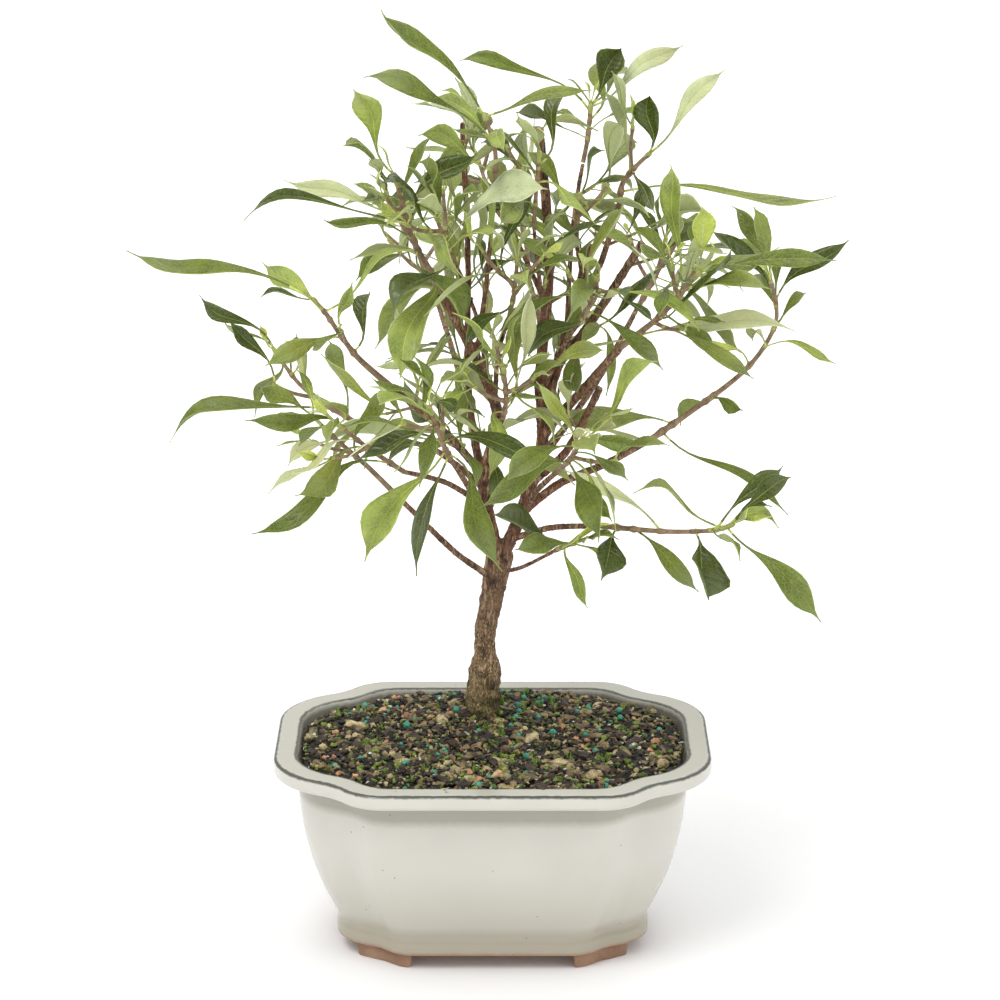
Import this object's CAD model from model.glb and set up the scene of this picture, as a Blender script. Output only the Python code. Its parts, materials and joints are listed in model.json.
"""The looks of a gardenia bonsai in its glazed pot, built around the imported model.

The frame has its origin on the floor under the middle of the pot, X to the right,
Y to the back and Z up. Sizes in the tables are millimetres, and meshes are metres.
The crown grows by the rule that the model's masses follow, and is carried on here to
finer leaves and twigs. Bark, glaze, clay and soil each have a finish of their own.
"""

import json
import logging
import math
import random
from dataclasses import dataclass, field
from enum import Enum

import bmesh
import bpy
from mathutils import Matrix, Vector, noise
from mathutils.bvhtree import BVHTree
from mathutils.kdtree import KDTree

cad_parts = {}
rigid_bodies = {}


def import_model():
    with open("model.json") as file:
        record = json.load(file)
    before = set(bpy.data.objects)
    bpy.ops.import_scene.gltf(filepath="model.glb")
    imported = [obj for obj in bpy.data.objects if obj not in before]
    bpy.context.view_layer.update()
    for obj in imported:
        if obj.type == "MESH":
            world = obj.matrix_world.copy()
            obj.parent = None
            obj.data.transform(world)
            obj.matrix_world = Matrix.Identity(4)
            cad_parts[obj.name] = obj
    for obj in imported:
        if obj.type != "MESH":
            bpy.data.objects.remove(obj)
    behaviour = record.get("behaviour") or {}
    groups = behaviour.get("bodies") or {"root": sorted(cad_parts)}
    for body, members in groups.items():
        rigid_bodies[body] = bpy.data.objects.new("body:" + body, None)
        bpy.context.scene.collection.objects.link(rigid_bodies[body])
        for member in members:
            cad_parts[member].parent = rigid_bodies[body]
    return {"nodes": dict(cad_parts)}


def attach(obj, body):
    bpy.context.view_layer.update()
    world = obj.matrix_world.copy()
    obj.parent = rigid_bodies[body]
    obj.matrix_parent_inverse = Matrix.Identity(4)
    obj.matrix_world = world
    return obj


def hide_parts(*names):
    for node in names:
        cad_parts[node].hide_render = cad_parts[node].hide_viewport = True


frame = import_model()

LOG = logging.getLogger("gardenia")
MM = 0.001
GAP = 0.3
UP = Vector((0.0, 0.0, 1.0))
ROOT = "root"

# The shoots: where they leave their stem, their size and how they head
GOLDEN_ANGLE = math.radians(137.5)
FIRST_SHOOT = 0.3             # the lowest leaves at this share of the stem's length
SHOOT_RUN = 0.5               # and the others over this much more of it
SHOOT_SWING = (0.85, 1.2)
SHOOT_RADII = (0.85, 0.6)
SHOOT_ON = 0.7                # how much of its heading is the stem's, outward and upward
SHOOT_OUT = 0.8
SHOOT_UP = 0.15
SHOOT_BEND = 0.06             # how far its middle bows out, as a share of its length
SHOOT_SAG = 0.3
SHOOT_TURN = 0.8              # how far each further try turns it round the stem, in radians
STEM_RADII = (1.3, 0.7)

# The leaves: their places, headings and sizes
LEAF_STEP = 0.3               # pairs of leaves lie this share of a leaf apart
LEAF_SKIP_START = 0.22        # a leaf may touch its neighbours over this share of its length
LEAF_CLEAR = 0.45             # what a leaf keeps to the solids of other nodes
SHOOT_CLEAR = 0.8
OUT_SWING = 0.45              # how far a leaf may turn round its twig from its place, in radians
SPREAD = 32.0                 # how far the first pair of leaves leans out from its twig, in degrees
SPREAD_MORE = 17.0            # how much further each next pair leans out
SPREAD_MOST = 72.0
SPREAD_SWING = 13.0
RISE_KEPT = 0.66              # leaves lie flatter than their twigs point
RISE = 0.07
DROOP = 0.27                  # how far a leaf's tip hangs, as a share of its length
DROOP_SWING = 0.2
LENGTH_SWING = 0.28
LEAF_WIDTH = 0.178            # width as a share of length
WIDTH_SWING = 0.03
YOUNG_LENGTH = 0.8            # the pair at a twig's tip is shorter than usual
FULL_LENGTH = 1.08            # and the pairs behind it are longer
LEAF_SHRINK = 0.86            # how much each further try shortens a leaf
SPREAD_TRY = 9.0              # and how far it turns the leaf, in degrees
TRIES = 4                     # tries at placing a leaf before it is left out
SHORT_LEAF = 42.0             # up to this length a leaf has one section, and then two
LONG_LEAF = 60.0              # past this length it has three
SECTIONS = (((0.55, 1.0),),   # the share of its length, and of its width, at each section
            ((0.34, 0.66), (0.68, 0.94)),
            ((0.26, 0.5), (0.52, 1.0), (0.77, 0.72)))
LEAF_THICK = 0.5
LEAF_THICKEN = 0.011          # how much thicker a leaf is for each millimetre of its length
LEAF_ROOT = 0.32              # half the width of its root
BOWS = (0.13, 0.24, 0.02, -0.1)    # how high a named leaf is bowed, at each try
FACE_FRONT = Vector((0.0, -0.65, 0.75))
FACE_BACK = Vector((0.0, 0.35, 0.9))
BACK_FROM = 62.0              # a named leaf whose tip lies further back faces backwards
CROWN_REACH = (131.0, 114.0, 352.0)   # only the named leaves reach past this

# The gaps in the crown, where the sky or bare stems show: from the front, in the trunk's plane
VIEW_FROM = Vector((2.8, -1247.0, 560.0))    # where the front view is taken from
GAP_SHARES = (0.3, 0.45, 0.6, 0.75, 0.88, 1.0)   # the places along a leaf that are tested
SKY_GAPS = (                  # middle x, z, half width, half height
    (3, 329, 11, 5), (20, 323, 12, 3), (25, 306, 4, 10), (37, 302, 4, 8), (65, 307, 9, 9),
    (23, 341, 10, 5), (-29, 316, 7, 7), (-32, 306, 4, 3), (-57, 307, 12, 10), (59, 296, 4, 5),
    (-60, 276, 21, 5), (-62, 284, 22, 3), (-43, 257, 9, 5), (-70, 265, 12, 5), (-76, 245, 11, 6),
    (-111, 251, 18, 5), (-100, 234, 9, 6), (-95, 222, 16, 8), (-86, 191, 12, 6), (-76, 173, 12, 7),
    (-51, 174, 9, 6), (-17, 169, 5, 7), (-30, 156, 7, 5), (-55, 159, 7, 5), (-38, 236, 4, 3),
    (-18, 219, 3, 5), (-52, 214, 4, 3), (7, 255, 3, 4), (48, 269, 3, 4), (57, 287, 3, 4),
    (85, 284, 4, 4), (87, 251, 7, 5), (117, 251, 12, 8), (64, 224, 17, 10), (88, 219, 6, 8),
    (114, 213, 16, 16), (53, 204, 6, 4), (73, 201, 11, 4), (72, 186, 16, 5), (61, 172, 8, 3),
    (88, 178, 5, 7), (33, 152, 4, 4), (56, 136, 22, 6), (25, 139, 12, 7), (101, 146, 9, 12),
    (-70, 304, 18, 7), (-54, 304, 5, 8), (-103, 192, 5, 5), (-71, 213, 3, 3), (117, 261, 3, 4),
    (110, 240, 7, 4), (5, 317, 6, 3), (-20, 307, 3, 4), (55, 174, 5, 4), (4, 316, 4, 2),
    (30, 298, 3, 5), (58, 186, 5, 4), (-9, 238, 3, 9), (0, 213, 3, 9), (50, 263, 4, 7),
    (19, 304, 2, 9), (31, 262, 4, 8), (36, 210, 3, 7), (37, 216, 4, 4), (19, 234, 4, 8),
    (18, 198, 3, 5), (51, 189, 5, 5), (-75, 210, 8, 2), (-85, 202, 8, 2), (-87, 222, 6, 4),
)

YOUNG_SHARE = 0.66             # how many of the places for folded leaves at twigs' tips have one

# The spurs: short shoots with small leaves, along the stems and the inner boughs
SPURS = "spurs"
SPUR_SEED = 77
SPUR_STEP = 26.0
SPUR_FROM = 184.0             # the lowest of them, in height
SPUR_BARE = 0.05              # how many places stay bare: a share from -1 to 1
SPUR_ALONG = 0.5
SPUR_UP = 0.3
SPUR_TWIG = 7.0
SPUR_RADII = (0.65, 0.5)
SPUR_LEAF = 36.0
SPUR_SPREADS = (0.7, 1.0, 0.45, 1.3)
SPUR_LIMBS = ("stem_left", "stem_centre", "stem_left_tall", "stem_heel", "stem_right_cut", "stem_dark_cut",
              "bough_inner_left", "bough_inner_low", "bough_middle", "bough_middle_right",
              "bough_centre_top", "bough_inner_right", "bough_top_left", "bough_right",
              "bough_upper_right", "bough_thin_upper", "bough_left_high")


@dataclass(frozen=True)
class Limb:
    """A trunk, stem or bough that tapers and passes a few chosen points."""

    name: str
    parent: str
    share: float
    route: tuple
    foot: float
    tip: float


@dataclass(frozen=True)
class Mass:
    """A mass of foliage: a stem that grows on from a bough, with shoots and leaves."""

    name: str
    bough: str
    stem: tuple
    reaches: tuple
    shoots: int
    shoot: float
    pairs: int
    leaf: float
    space: float
    seed: int


TRUNK_RADII = (7.3, 6.0, 4.7, 4.1, 4.3, 4.9, 5.4)
TRUNK = Limb(
    "trunk", "", 0.0,
    ((-4, 29, 71), (-4, 29, 84), (-3, 28, 98), (-3, 27, 112), (-1, 25, 124), (1, 24, 136),
     (3, 22, 147)),
    TRUNK_RADII[0], TRUNK_RADII[-1])

STEMS = (
    Limb("stem_left", "trunk", 0.94,
         ((-2, 18, 164), (-3, 12, 182), (2, 6, 205), (-7, -2, 232), (-19, -12, 257)), 2.9, 1.7),
    Limb("stem_centre", "trunk", 0.94,
         ((9, 20, 158), (14, 20, 173), (19, 21, 192), (18, 20, 218), (21, 13, 264), (17, 4, 315)),
         2.7, 1.7),
    Limb("stem_left_tall", "stem_left", 0.28, ((-9, 20, 212), (-9, 12, 262), (-11, 14, 315)), 1.4, 1.1),
    Limb("stem_heel", "stem_centre", 0.34, ((27, 27, 229), (37, 33, 265)), 2.1, 1.8),
    Limb("stem_right_cut", "stem_heel", 0.32, ((38, 22, 239), (55, 4, 272)), 1.8, 1.6),
    Limb("stem_dark_cut", "stem_centre", 0.2, ((28, 13, 190), (40, 4, 217)), 1.7, 1.5),
)

BOUGHS = (
    Limb("bough_left_low", "trunk", 0.84, ((-13, 6, 151), (-24, 0, 164), (-35, -5, 177)), 1.4, 1.1),
    Limb("bough_low", "trunk", 0.88, ((11, 6, 146), (23, -8, 157)), 1.0, 0.8),
    Limb("bough_right_low", "stem_centre", 0.06, ((22, 2, 163), (40, -18, 170)), 1.4, 1.1),
    Limb("bough_right_far", "stem_centre", 0.13, ((26, 24, 174), (42, 27, 180), (60, 31, 189)), 1.8, 1.4),
    Limb("bough_right", "stem_centre", 0.31, ((32, 8, 213), (47, -6, 235)), 2.1, 1.6),
    Limb("bough_upper_right", "stem_heel", 0.62, ((40, 26, 258), (47, 16, 285)), 1.4, 1.1),
    Limb("bough_thin_upper", "stem_heel", 0.5, ((30, 38, 268), (34, 46, 293)), 1.1, 0.9),
    Limb("bough_left_high", "stem_left", 0.31, ((-17, 4, 199), (-36, -3, 218)), 1.7, 1.3),
    Limb("bough_left_back", "stem_left", 0.27, ((-22, 24, 187), (-41, 28, 191)), 1.4, 1.1),
    Limb("bough_left_front", "stem_left", 0.2, ((-17, -6, 183), (-32, -22, 192)), 1.3, 1.0),
    Limb("bough_top_left", "stem_left", 0.74, ((-2, -10, 262), (1, -14, 297)), 1.1, 0.9),
    Limb("bough_inner_left", "stem_left", 0.66, ((-5, -14, 246), (-13, -22, 270)), 1.0, 0.8),
    Limb("bough_inner_low", "stem_left", 0.45, ((3, -12, 209), (4, -27, 214)), 1.1, 0.9),
    Limb("bough_middle", "stem_left", 0.56, ((2, -14, 234), (6, -21, 250)), 1.1, 0.9),
    Limb("bough_middle_right", "stem_heel", 0.72, ((33, 18, 258), (31, 6, 270)), 1.1, 0.9),
    Limb("bough_centre_top", "stem_centre", 0.56, ((17, -2, 262), (15, -14, 282)), 1.1, 0.8),
    Limb("bough_inner_right", "stem_centre", 0.4, ((26, 2, 233), (32, -14, 247)), 1.1, 0.9),
    Limb("bough_front_left", "stem_left", 0.13, ((-9, -14, 184), (-15, -42, 203)), 1.4, 1.0),
    Limb("bough_front_right", "stem_centre", 0.1, ((16, -8, 180), (24, -40, 198)), 1.4, 1.0),
    Limb("bough_back_left", "stem_left", 0.22, ((-12, 50, 206), (-22, 80, 232)), 1.5, 1.1),
    Limb("bough_back_right", "stem_centre", 0.24, ((40, 52, 206), (56, 78, 228)), 1.5, 1.1),
    Limb("bough_back", "stem_centre", 0.37, ((19, 54, 224), (14, 80, 240)), 1.5, 1.1),
    Limb("bough_back_high", "stem_centre", 0.6, ((9, 34, 266), (0, 50, 276)), 1.1, 0.9),
)

MASSES = (
    Mass("foliage_left_high", "bough_left_high", ((-50, -10, 233), (-60, -17, 250), (-65, -20, 257)),
         ((1.0, -134, 4, 265, 7.5), (0.86, -30, -36, 278, 4.5), (0.45, -44, -8, 256, 9),
          (0.6, -82, -28, 234, 8.5)), 1, 16, 1, 34, 46, 11),
    Mass("foliage_left_back", "bough_left_back", ((-60, 36, 199), (-74, 42, 208), (-84, 46, 221)),
         ((1.0, -113, 52, 238, 6), (0.4, -127, 44, 189, 8.5, 0.16), (0.78, -70, 38, 226, 5),
          (0.9, -92, 62, 190, 6.5), (0.3, -62, 60, 222, 7.5)), 1, 18, 2, 38, 50, 12),
    Mass("foliage_left_front", "bough_left_front", ((-44, -34, 204), (-56, -44, 217)),
         ((0.7, -87, -64, 224, 6), (0.2, -86, -50, 176, 6.5), (0.55, -69, -48, 189, 9),
          (1.0, -58, -84, 236, 7.5)), 1, 16, 1, 38, 44, 13),
    Mass("foliage_left_low", "bough_left_low", ((-46, -12, 191), (-58, -18, 204), (-66, -22, 214)),
         ((0.75, -76, -20, 195, 6), (1.0, -84, -30, 226, 6), (0.5, -40, -14, 222, 6.5)),
         1, 14, 1, 32, 38, 14),
    Mass("foliage_stem_left", "stem_left", ((-24, -16, 269), (-29, -20, 280), (-35, -24, 304)),
         ((0.6, -88, -42, 297, 5), (0.66, -75, -14, 297, 6), (0.48, -59, -46, 292, 5),
          (0.2, -32, -48, 234, 11), (1.0, -49, -30, 335, 9), (0.93, -52, -40, 318, 7.5),
          (0.75, -6, -30, 312, 7.5), (0.4, -10, -38, 250, 9)), 2, 18, 2, 34, 44, 15),
    Mass("foliage_inner_left", "bough_inner_left", ((-17, -26, 280), (-20, -32, 290)),
         ((0.6, -38, -42, 306, 10), (1.0, -22, -54, 318, 7.5), (0.3, -2, -52, 288, 8.5),
          (0.12, -37, -44, 257, 10), (0.5, -6, -50, 303, 9)), 2, 18, 2, 42, 46, 116),
    Mass("foliage_top_left", "bough_top_left", ((1, -18, 311), (-3, -20, 325)),
         ((0.9, -39, -30, 363, 7.5), (0.95, 35, -26, 334, 5), (0.55, -44, -34, 343, 7.5),
          (0.2, -26, -20, 318, 6.5)), 0, 16, 1, 34, 42, 17),
    Mass("foliage_top_right", "bough_thin_upper", ((36, 49, 303), (37, 52, 315)),
         ((1.0, 48, 48, 337, 10), (0.93, 71, 58, 336, 6.5), (0.85, -12, 56, 334, 5),
          (0.4, 8, 62, 308, 6), (0.7, 44, 84, 326, 7.5)), 0, 14, 1, 34, 44, 18),
    Mass("foliage_right_high", "bough_upper_right", ((48, 15, 292), (53, 13, 299), (58, 12, 304)),
         ((0.95, 57, 8, 326, 8.5), (1.0, 85, 16, 334, 6.5), (0.5, 47, 20, 321, 8.5),
          (0.6, 58, -2, 285, 5), (0.15, 125, 2, 289, 6.5, 0.03)), 1, 15, 1, 34, 40, 19),
    Mass("foliage_centre_top", "bough_centre_top", ((16, -18, 299), (17, -20, 311)),
         ((0.95, -11, -18, 325, 6), (0.6, 36, -34, 288, 7.5), (0.3, 2, -44, 292, 7.5),
          (0.8, 26, -6, 330, 6)), 1, 17, 2, 36, 42, 20),
    Mass("foliage_right", "bough_right", ((59, -14, 247), (66, -19, 256), (75, -24, 268)),
         ((0.15, 109, -26, 246, 7.5), (0.93, 123, -36, 275, 6.5), (1.0, 76, -28, 292, 7.5),
          (0.82, 97, -50, 268, 6), (0.5, 80, -22, 236, 6), (0.6, 67, -10, 304, 7.5),
          (0.45, 84, -42, 280, 6)), 3, 18, 2, 36, 48, 21),
    Mass("foliage_right_far", "bough_right_far",
         ((76, 36, 199), (97, 42, 214), (108, 44, 232), (105, 38, 250)),
         ((0.06, 112, 22, 160, 4.5), (0.12, 26, 12, 199, 9), (0.3, 95, 26, 202, 6),
          (0.34, 72, 56, 188, 7.5), (0.55, 82, 34, 228, 5), (0.9, 82, 28, 272, 8.5),
          (0.97, 92, 44, 278, 6.5), (1.0, 99, 34, 279, 6.5), (0.88, 134, 36, 266, 9),
          (0.75, 117, 32, 246, 5)), 1, 16, 2, 36, 44, 22),
    Mass("foliage_right_low", "bough_right_low", ((63, -34, 173), (80, -45, 177), (87, -50, 181)),
         ((0.86, 105, -42, 200, 7.5), (0.97, 107, -66, 204, 6.5), (0.9, 50, -72, 201, 6),
          (0.45, 26, -34, 197, 6), (0.7, 77, -64, 157, 15), (0.94, 117, -74, 152, 11),
          (0.12, 40, -34, 154, 13.5), (0.25, 74, -42, 152, 8)), 0, 14, 1, 32, 40, 23),
    Mass("foliage_low", "bough_low", ((27, -11, 160), (31, -14, 162)),
         ((0.5, 34, -22, 139, 5), (1.0, 46, -34, 170, 4.5), (0.45, 0, -24, 176, 11, 0.04),
          (0.9, 9, -30, 163, 8, 0.14), (0.2, 44, -34, 176, 6.5, 0.04)), 0, 10, 1, 24, 28, 24),
    Mass("foliage_front_right", "bough_front_right", ((28, -58, 208), (32, -72, 220)),
         ((0.4, 40, -98, 188, 10), (0.5, 44, -84, 192, 6.5), (1.0, 36, -117, 226, 9),
          (0.8, 4, -100, 214, 8.5), (0.9, 58, -92, 253, 7.5)), 1, 18, 2, 40, 48, 25),
    Mass("foliage_front_left", "bough_front_left", ((-18, -56, 214), (-22, -68, 230)),
         ((0.15, 2, -72, 170, 11), (0.25, -48, -62, 172, 11), (0.1, -32, -40, 158, 6.5),
          (0.9, -38, -104, 240, 8.5), (1.0, -10, -106, 256, 7.5)), 2, 18, 2, 36, 48, 26),
    Mass("foliage_inner_low", "bough_inner_low", ((5, -36, 224), (4, -44, 238)),
         ((0.4, 26, -48, 240, 5), (0.9, -14, -66, 262, 7.5), (0.6, 22, -70, 250, 7.5)),
         3, 17, 2, 40, 44, 127),
    Mass("foliage_inner_right", "bough_inner_right", ((36, -20, 256), (38, -30, 268)),
         ((0.1, 12, -34, 240, 9), (0.2, 62, -34, 234, 6.5), (0.9, 30, -62, 280, 7.5)),
         2, 16, 2, 40, 44, 128),
    Mass("foliage_middle", "bough_middle", ((8, -25, 261), (9, -29, 274)),
         ((0.9, -12, -44, 290, 6.5), (0.7, 32, -40, 276, 6.5), (0.3, -10, -46, 246, 6)),
         3, 18, 2, 42, 46, 33),
    Mass("foliage_middle_right", "bough_middle_right", ((31, 2, 281), (32, -2, 292)),
         ((0.8, 12, 2, 306, 6.5), (0.5, 52, -14, 272, 6), (0.95, 38, -22, 312, 7.5)),
         1, 16, 2, 38, 42, 34),
    Mass("foliage_back_left", "bough_back_left", ((-28, 90, 244), (-31, 96, 254)),
         ((0.8, -54, 100, 236, 9), (0.4, -46, 108, 206, 9), (1.0, -38, 117, 270, 8.5),
          (0.9, -42, 82, 272, 7.5)), 3, 22, 2, 42, 52, 29),
    Mass("foliage_back_right", "bough_back_right", ((64, 88, 240), (68, 92, 254)),
         ((0.8, 112, 84, 248, 9), (0.4, 84, 110, 214, 9), (1.0, 72, 100, 268, 8.5),
          (0.5, 98, 66, 216, 8.5)), 3, 24, 2, 42, 58, 30),
    Mass("foliage_back", "bough_back", ((13, 90, 252), (10, 92, 264)),
         ((0.7, 24, 117, 232, 9), (0.9, -24, 110, 276, 8.5), (1.0, 18, 106, 272, 8.5)),
         3, 22, 2, 40, 54, 131),
    Mass("foliage_back_high", "bough_back_high", ((-3, 58, 284), (-6, 64, 292)),
         ((0.9, -34, 74, 292, 7.5), (1.0, -4, 88, 306, 7.5), (0.4, -30, 54, 284, 7.5)),
         2, 15, 1, 36, 42, 132),
)


class Tint(Enum):
    """The green of a leaf's upper side, or the pale green of an underside."""

    DEEP = "deep"
    MID = "mid"
    OLIVE = "olive"
    FRESH = "fresh"
    PALE = "pale"
    LIME = "lime"
    UNDER = "under"


# The tints of the furthest leaves of a mass, in the order of its reaches
REACH_TINTS = {
    "foliage_left_high": (Tint.MID, Tint.FRESH, Tint.DEEP, Tint.OLIVE),
    "foliage_left_back": (Tint.DEEP, Tint.MID, Tint.FRESH, Tint.OLIVE, Tint.MID),
    "foliage_left_front": (Tint.MID, Tint.MID, Tint.OLIVE, Tint.FRESH),
    "foliage_left_low": (Tint.PALE, Tint.OLIVE, Tint.MID),
    "foliage_stem_left": (Tint.DEEP, Tint.PALE, Tint.MID, Tint.FRESH, Tint.FRESH, Tint.MID, Tint.DEEP,
                          Tint.MID),
    "foliage_inner_left": (Tint.DEEP, Tint.MID, Tint.FRESH, Tint.DEEP, Tint.MID),
    "foliage_top_left": (Tint.MID, Tint.OLIVE, Tint.MID, Tint.FRESH),
    "foliage_top_right": (Tint.DEEP, Tint.PALE, Tint.MID, Tint.DEEP, Tint.OLIVE),
    "foliage_right_high": (Tint.DEEP, Tint.PALE, Tint.OLIVE, Tint.DEEP, Tint.OLIVE),
    "foliage_centre_top": (Tint.MID, Tint.FRESH, Tint.OLIVE, Tint.DEEP),
    "foliage_right": (Tint.PALE, Tint.MID, Tint.LIME, Tint.OLIVE, Tint.MID, Tint.FRESH, Tint.DEEP),
    "foliage_right_far": (Tint.MID, Tint.OLIVE, Tint.MID, Tint.FRESH, Tint.LIME, Tint.DEEP, Tint.OLIVE,
                          Tint.OLIVE, Tint.DEEP, Tint.MID),
    "foliage_right_low": (Tint.DEEP, Tint.DEEP, Tint.OLIVE, Tint.PALE, Tint.DEEP, Tint.MID, Tint.DEEP,
                          Tint.MID),
    "foliage_low": (Tint.FRESH, Tint.OLIVE, Tint.DEEP, Tint.MID, Tint.LIME),
    "foliage_front_right": (Tint.MID, Tint.FRESH, Tint.OLIVE, Tint.MID, Tint.FRESH),
    "foliage_front_left": (Tint.MID, Tint.FRESH, Tint.DEEP, Tint.FRESH, Tint.OLIVE),
    "foliage_inner_low": (Tint.MID, Tint.FRESH, Tint.OLIVE),
    "foliage_inner_right": (Tint.DEEP, Tint.MID, Tint.FRESH),
    "foliage_middle": (Tint.FRESH, Tint.MID, Tint.DEEP),
    "foliage_middle_right": (Tint.MID, Tint.OLIVE, Tint.DEEP),
    "foliage_back_left": (Tint.MID, Tint.OLIVE, Tint.DEEP, Tint.MID),
    "foliage_back_right": (Tint.MID, Tint.OLIVE, Tint.DEEP, Tint.MID),
    "foliage_back": (Tint.DEEP, Tint.MID, Tint.MID),
    "foliage_back_high": (Tint.OLIVE, Tint.MID, Tint.DEEP),
}


@dataclass
class Leaf:
    """One leaf: a blade on a bowed line from its root to its tip."""

    base: Vector
    bow: Vector
    tip: Vector
    face: Vector
    width: float
    tint: Tint | None = None

    def length(self) -> float:
        """Length from root to tip."""
        return (self.tip - self.base).length

    def point(self, share: float) -> Vector:
        """The point on the leaf's line at a share of its length."""
        rest = 1.0 - share
        return self.base * (rest * rest) + self.bow * (2.0 * rest * share) + self.tip * (share * share)

    def along(self, share: float) -> Vector:
        """The way that the leaf's line runs at a share of its length."""
        way = (self.bow - self.base) * (1.0 - share) + (self.tip - self.bow) * share
        return way.normalized()

    def frame(self, share: float) -> tuple[Vector, Vector]:
        """The sideways and upward ways of the blade at a share of its length."""
        along = self.along(share)
        side = along.cross(self.face).normalized()
        return side, side.cross(along).normalized()


def smooth_route(points: list[Vector], steps: int) -> list[Vector]:
    """Points on a smooth curve through the given points.

    Args:
        points: the points that the curve passes.
        steps: how many steps each stretch is cut into.

    Returns:
        The points of the curve, from the first given point to the last.
    """
    ends = [points[0] * 2.0 - points[1], *points, points[-1] * 2.0 - points[-2]]
    line = []
    for first, start, end, last in zip(ends, ends[1:], ends[2:], ends[3:]):
        for step in range(steps):
            share = step / steps
            line.append(0.5 * (start * 2.0 + (end - first) * share
                               + (first * 2.0 - start * 5.0 + end * 4.0 - last) * share ** 2
                               + (start * 3.0 - first - end * 3.0 + last) * share ** 3))
    line.append(points[-1].copy())
    return line


def line_length(line: list[Vector]) -> float:
    """Length of a line of points."""
    return sum((end - start).length for start, end in zip(line, line[1:]))


def spot_on(line: list[Vector], share: float) -> tuple[Vector, Vector]:
    """The point at a share of a line's length.

    Args:
        line: the points of the line.
        share: from 0 at its start to 1 at its end.

    Returns:
        The point and the way that the line runs there.
    """
    left = share * line_length(line)
    for start, end in zip(line, line[1:]):
        length = (end - start).length
        if left <= length:
            return start.lerp(end, left / length), (end - start).normalized()
        left -= length
    return line[-1].copy(), (line[-1] - line[-2]).normalized()


def across(way: Vector) -> tuple[Vector, Vector]:
    """Two ways at right angles to a given way and to each other."""
    level = way.cross(UP)
    if level.length < 0.05:
        level = Vector((1.0, 0.0, 0.0))
    first = (level - way * level.dot(way)).normalized()
    return first, way.cross(first).normalized()


def tapered(foot: float, tip: float, count: int) -> list[float]:
    """Radii that shrink evenly from a foot to a tip."""
    return [foot + (tip - foot) * index / (count - 1) for index in range(count)]


def tube_shell(line: list[Vector], radii: list[float], sides: int) -> tuple[list, list]:
    """Points and faces of a plain tube, used only to test what a line comes near."""
    points = []
    faces = []
    for index, (spot, radius) in enumerate(zip(line, radii)):
        before = line[max(index - 1, 0)]
        after = line[min(index + 1, len(line) - 1)]
        first, second = across((after - before).normalized())
        for side in range(sides):
            angle = math.tau * side / sides
            points.append(spot + (first * math.cos(angle) + second * math.sin(angle)) * radius)
        if index:
            low = (index - 1) * sides
            faces += [(low + side, low + (side + 1) % sides, low + sides + (side + 1) % sides,
                       low + sides + side) for side in range(sides)]
    return points, faces


def leaf_shell(leaf: Leaf, grow: float = 0.0, start: float = 0.0) -> tuple[list, list]:
    """Points and faces of the model's plain leaf, used only to test what it comes near.

    Args:
        leaf: the leaf.
        grow: how much wider and thicker the shell is than the leaf.
        start: the share of its length that is left out at its root.

    Returns:
        The points and the faces.
    """
    length = leaf.length()
    sections = SECTIONS[(length > SHORT_LEAF) + (length > LONG_LEAF)]
    thick = LEAF_THICK + length * LEAF_THICKEN
    side, lift = leaf.frame(start)
    root = leaf.point(start)
    points = [root + side * (LEAF_ROOT + grow) + lift * (LEAF_ROOT * 0.5 + grow),
              root - side * (LEAF_ROOT + grow) + lift * (LEAF_ROOT * 0.5 + grow),
              root - lift * (LEAF_ROOT + grow)]
    for share, wide in sections:
        side, lift = leaf.frame(share)
        spot = leaf.point(share)
        half = leaf.width * wide * 0.5 + grow
        points += [spot + side * half + lift * grow,
                   spot - side * half + lift * grow,
                   spot - lift * (thick * (0.6 + 0.4 * wide) + grow)]
    points.append(leaf.point(1.0) + leaf.along(1.0) * grow)
    faces = [(0, 1, 2)]
    for ring in range(len(sections)):
        low = ring * 3
        faces += [(low + (side + 1) % 3, low + side, low + 3 + side, low + 3 + (side + 1) % 3)
                  for side in range(3)]
    low = len(sections) * 3
    faces += [(low + (side + 1) % 3, low + side, low + 3) for side in range(3)]
    return points, faces


def tree_of(points: list, faces: list) -> BVHTree:
    """A search tree over a shell."""
    return BVHTree.FromPolygons(points, faces)


def in_reach(tip: Vector) -> bool:
    """Whether the tip of a leaf lies inside the reach of the crown."""
    return all(abs(place) < reach for place, reach in zip(tip, CROWN_REACH))


def shows_sky(leaf: Leaf) -> bool:
    """Whether a leaf would cover one of the gaps in the crown."""
    for share in GAP_SHARES:
        place = leaf.point(share)
        near = VIEW_FROM + (place - VIEW_FROM) * (VIEW_FROM.y / (VIEW_FROM.y - place.y))
        for x, z, half_width, half_height in SKY_GAPS:
            if ((near.x - x) / half_width) ** 2 + ((near.z - z) / half_height) ** 2 < 1.0:
                return True
    return False


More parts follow.
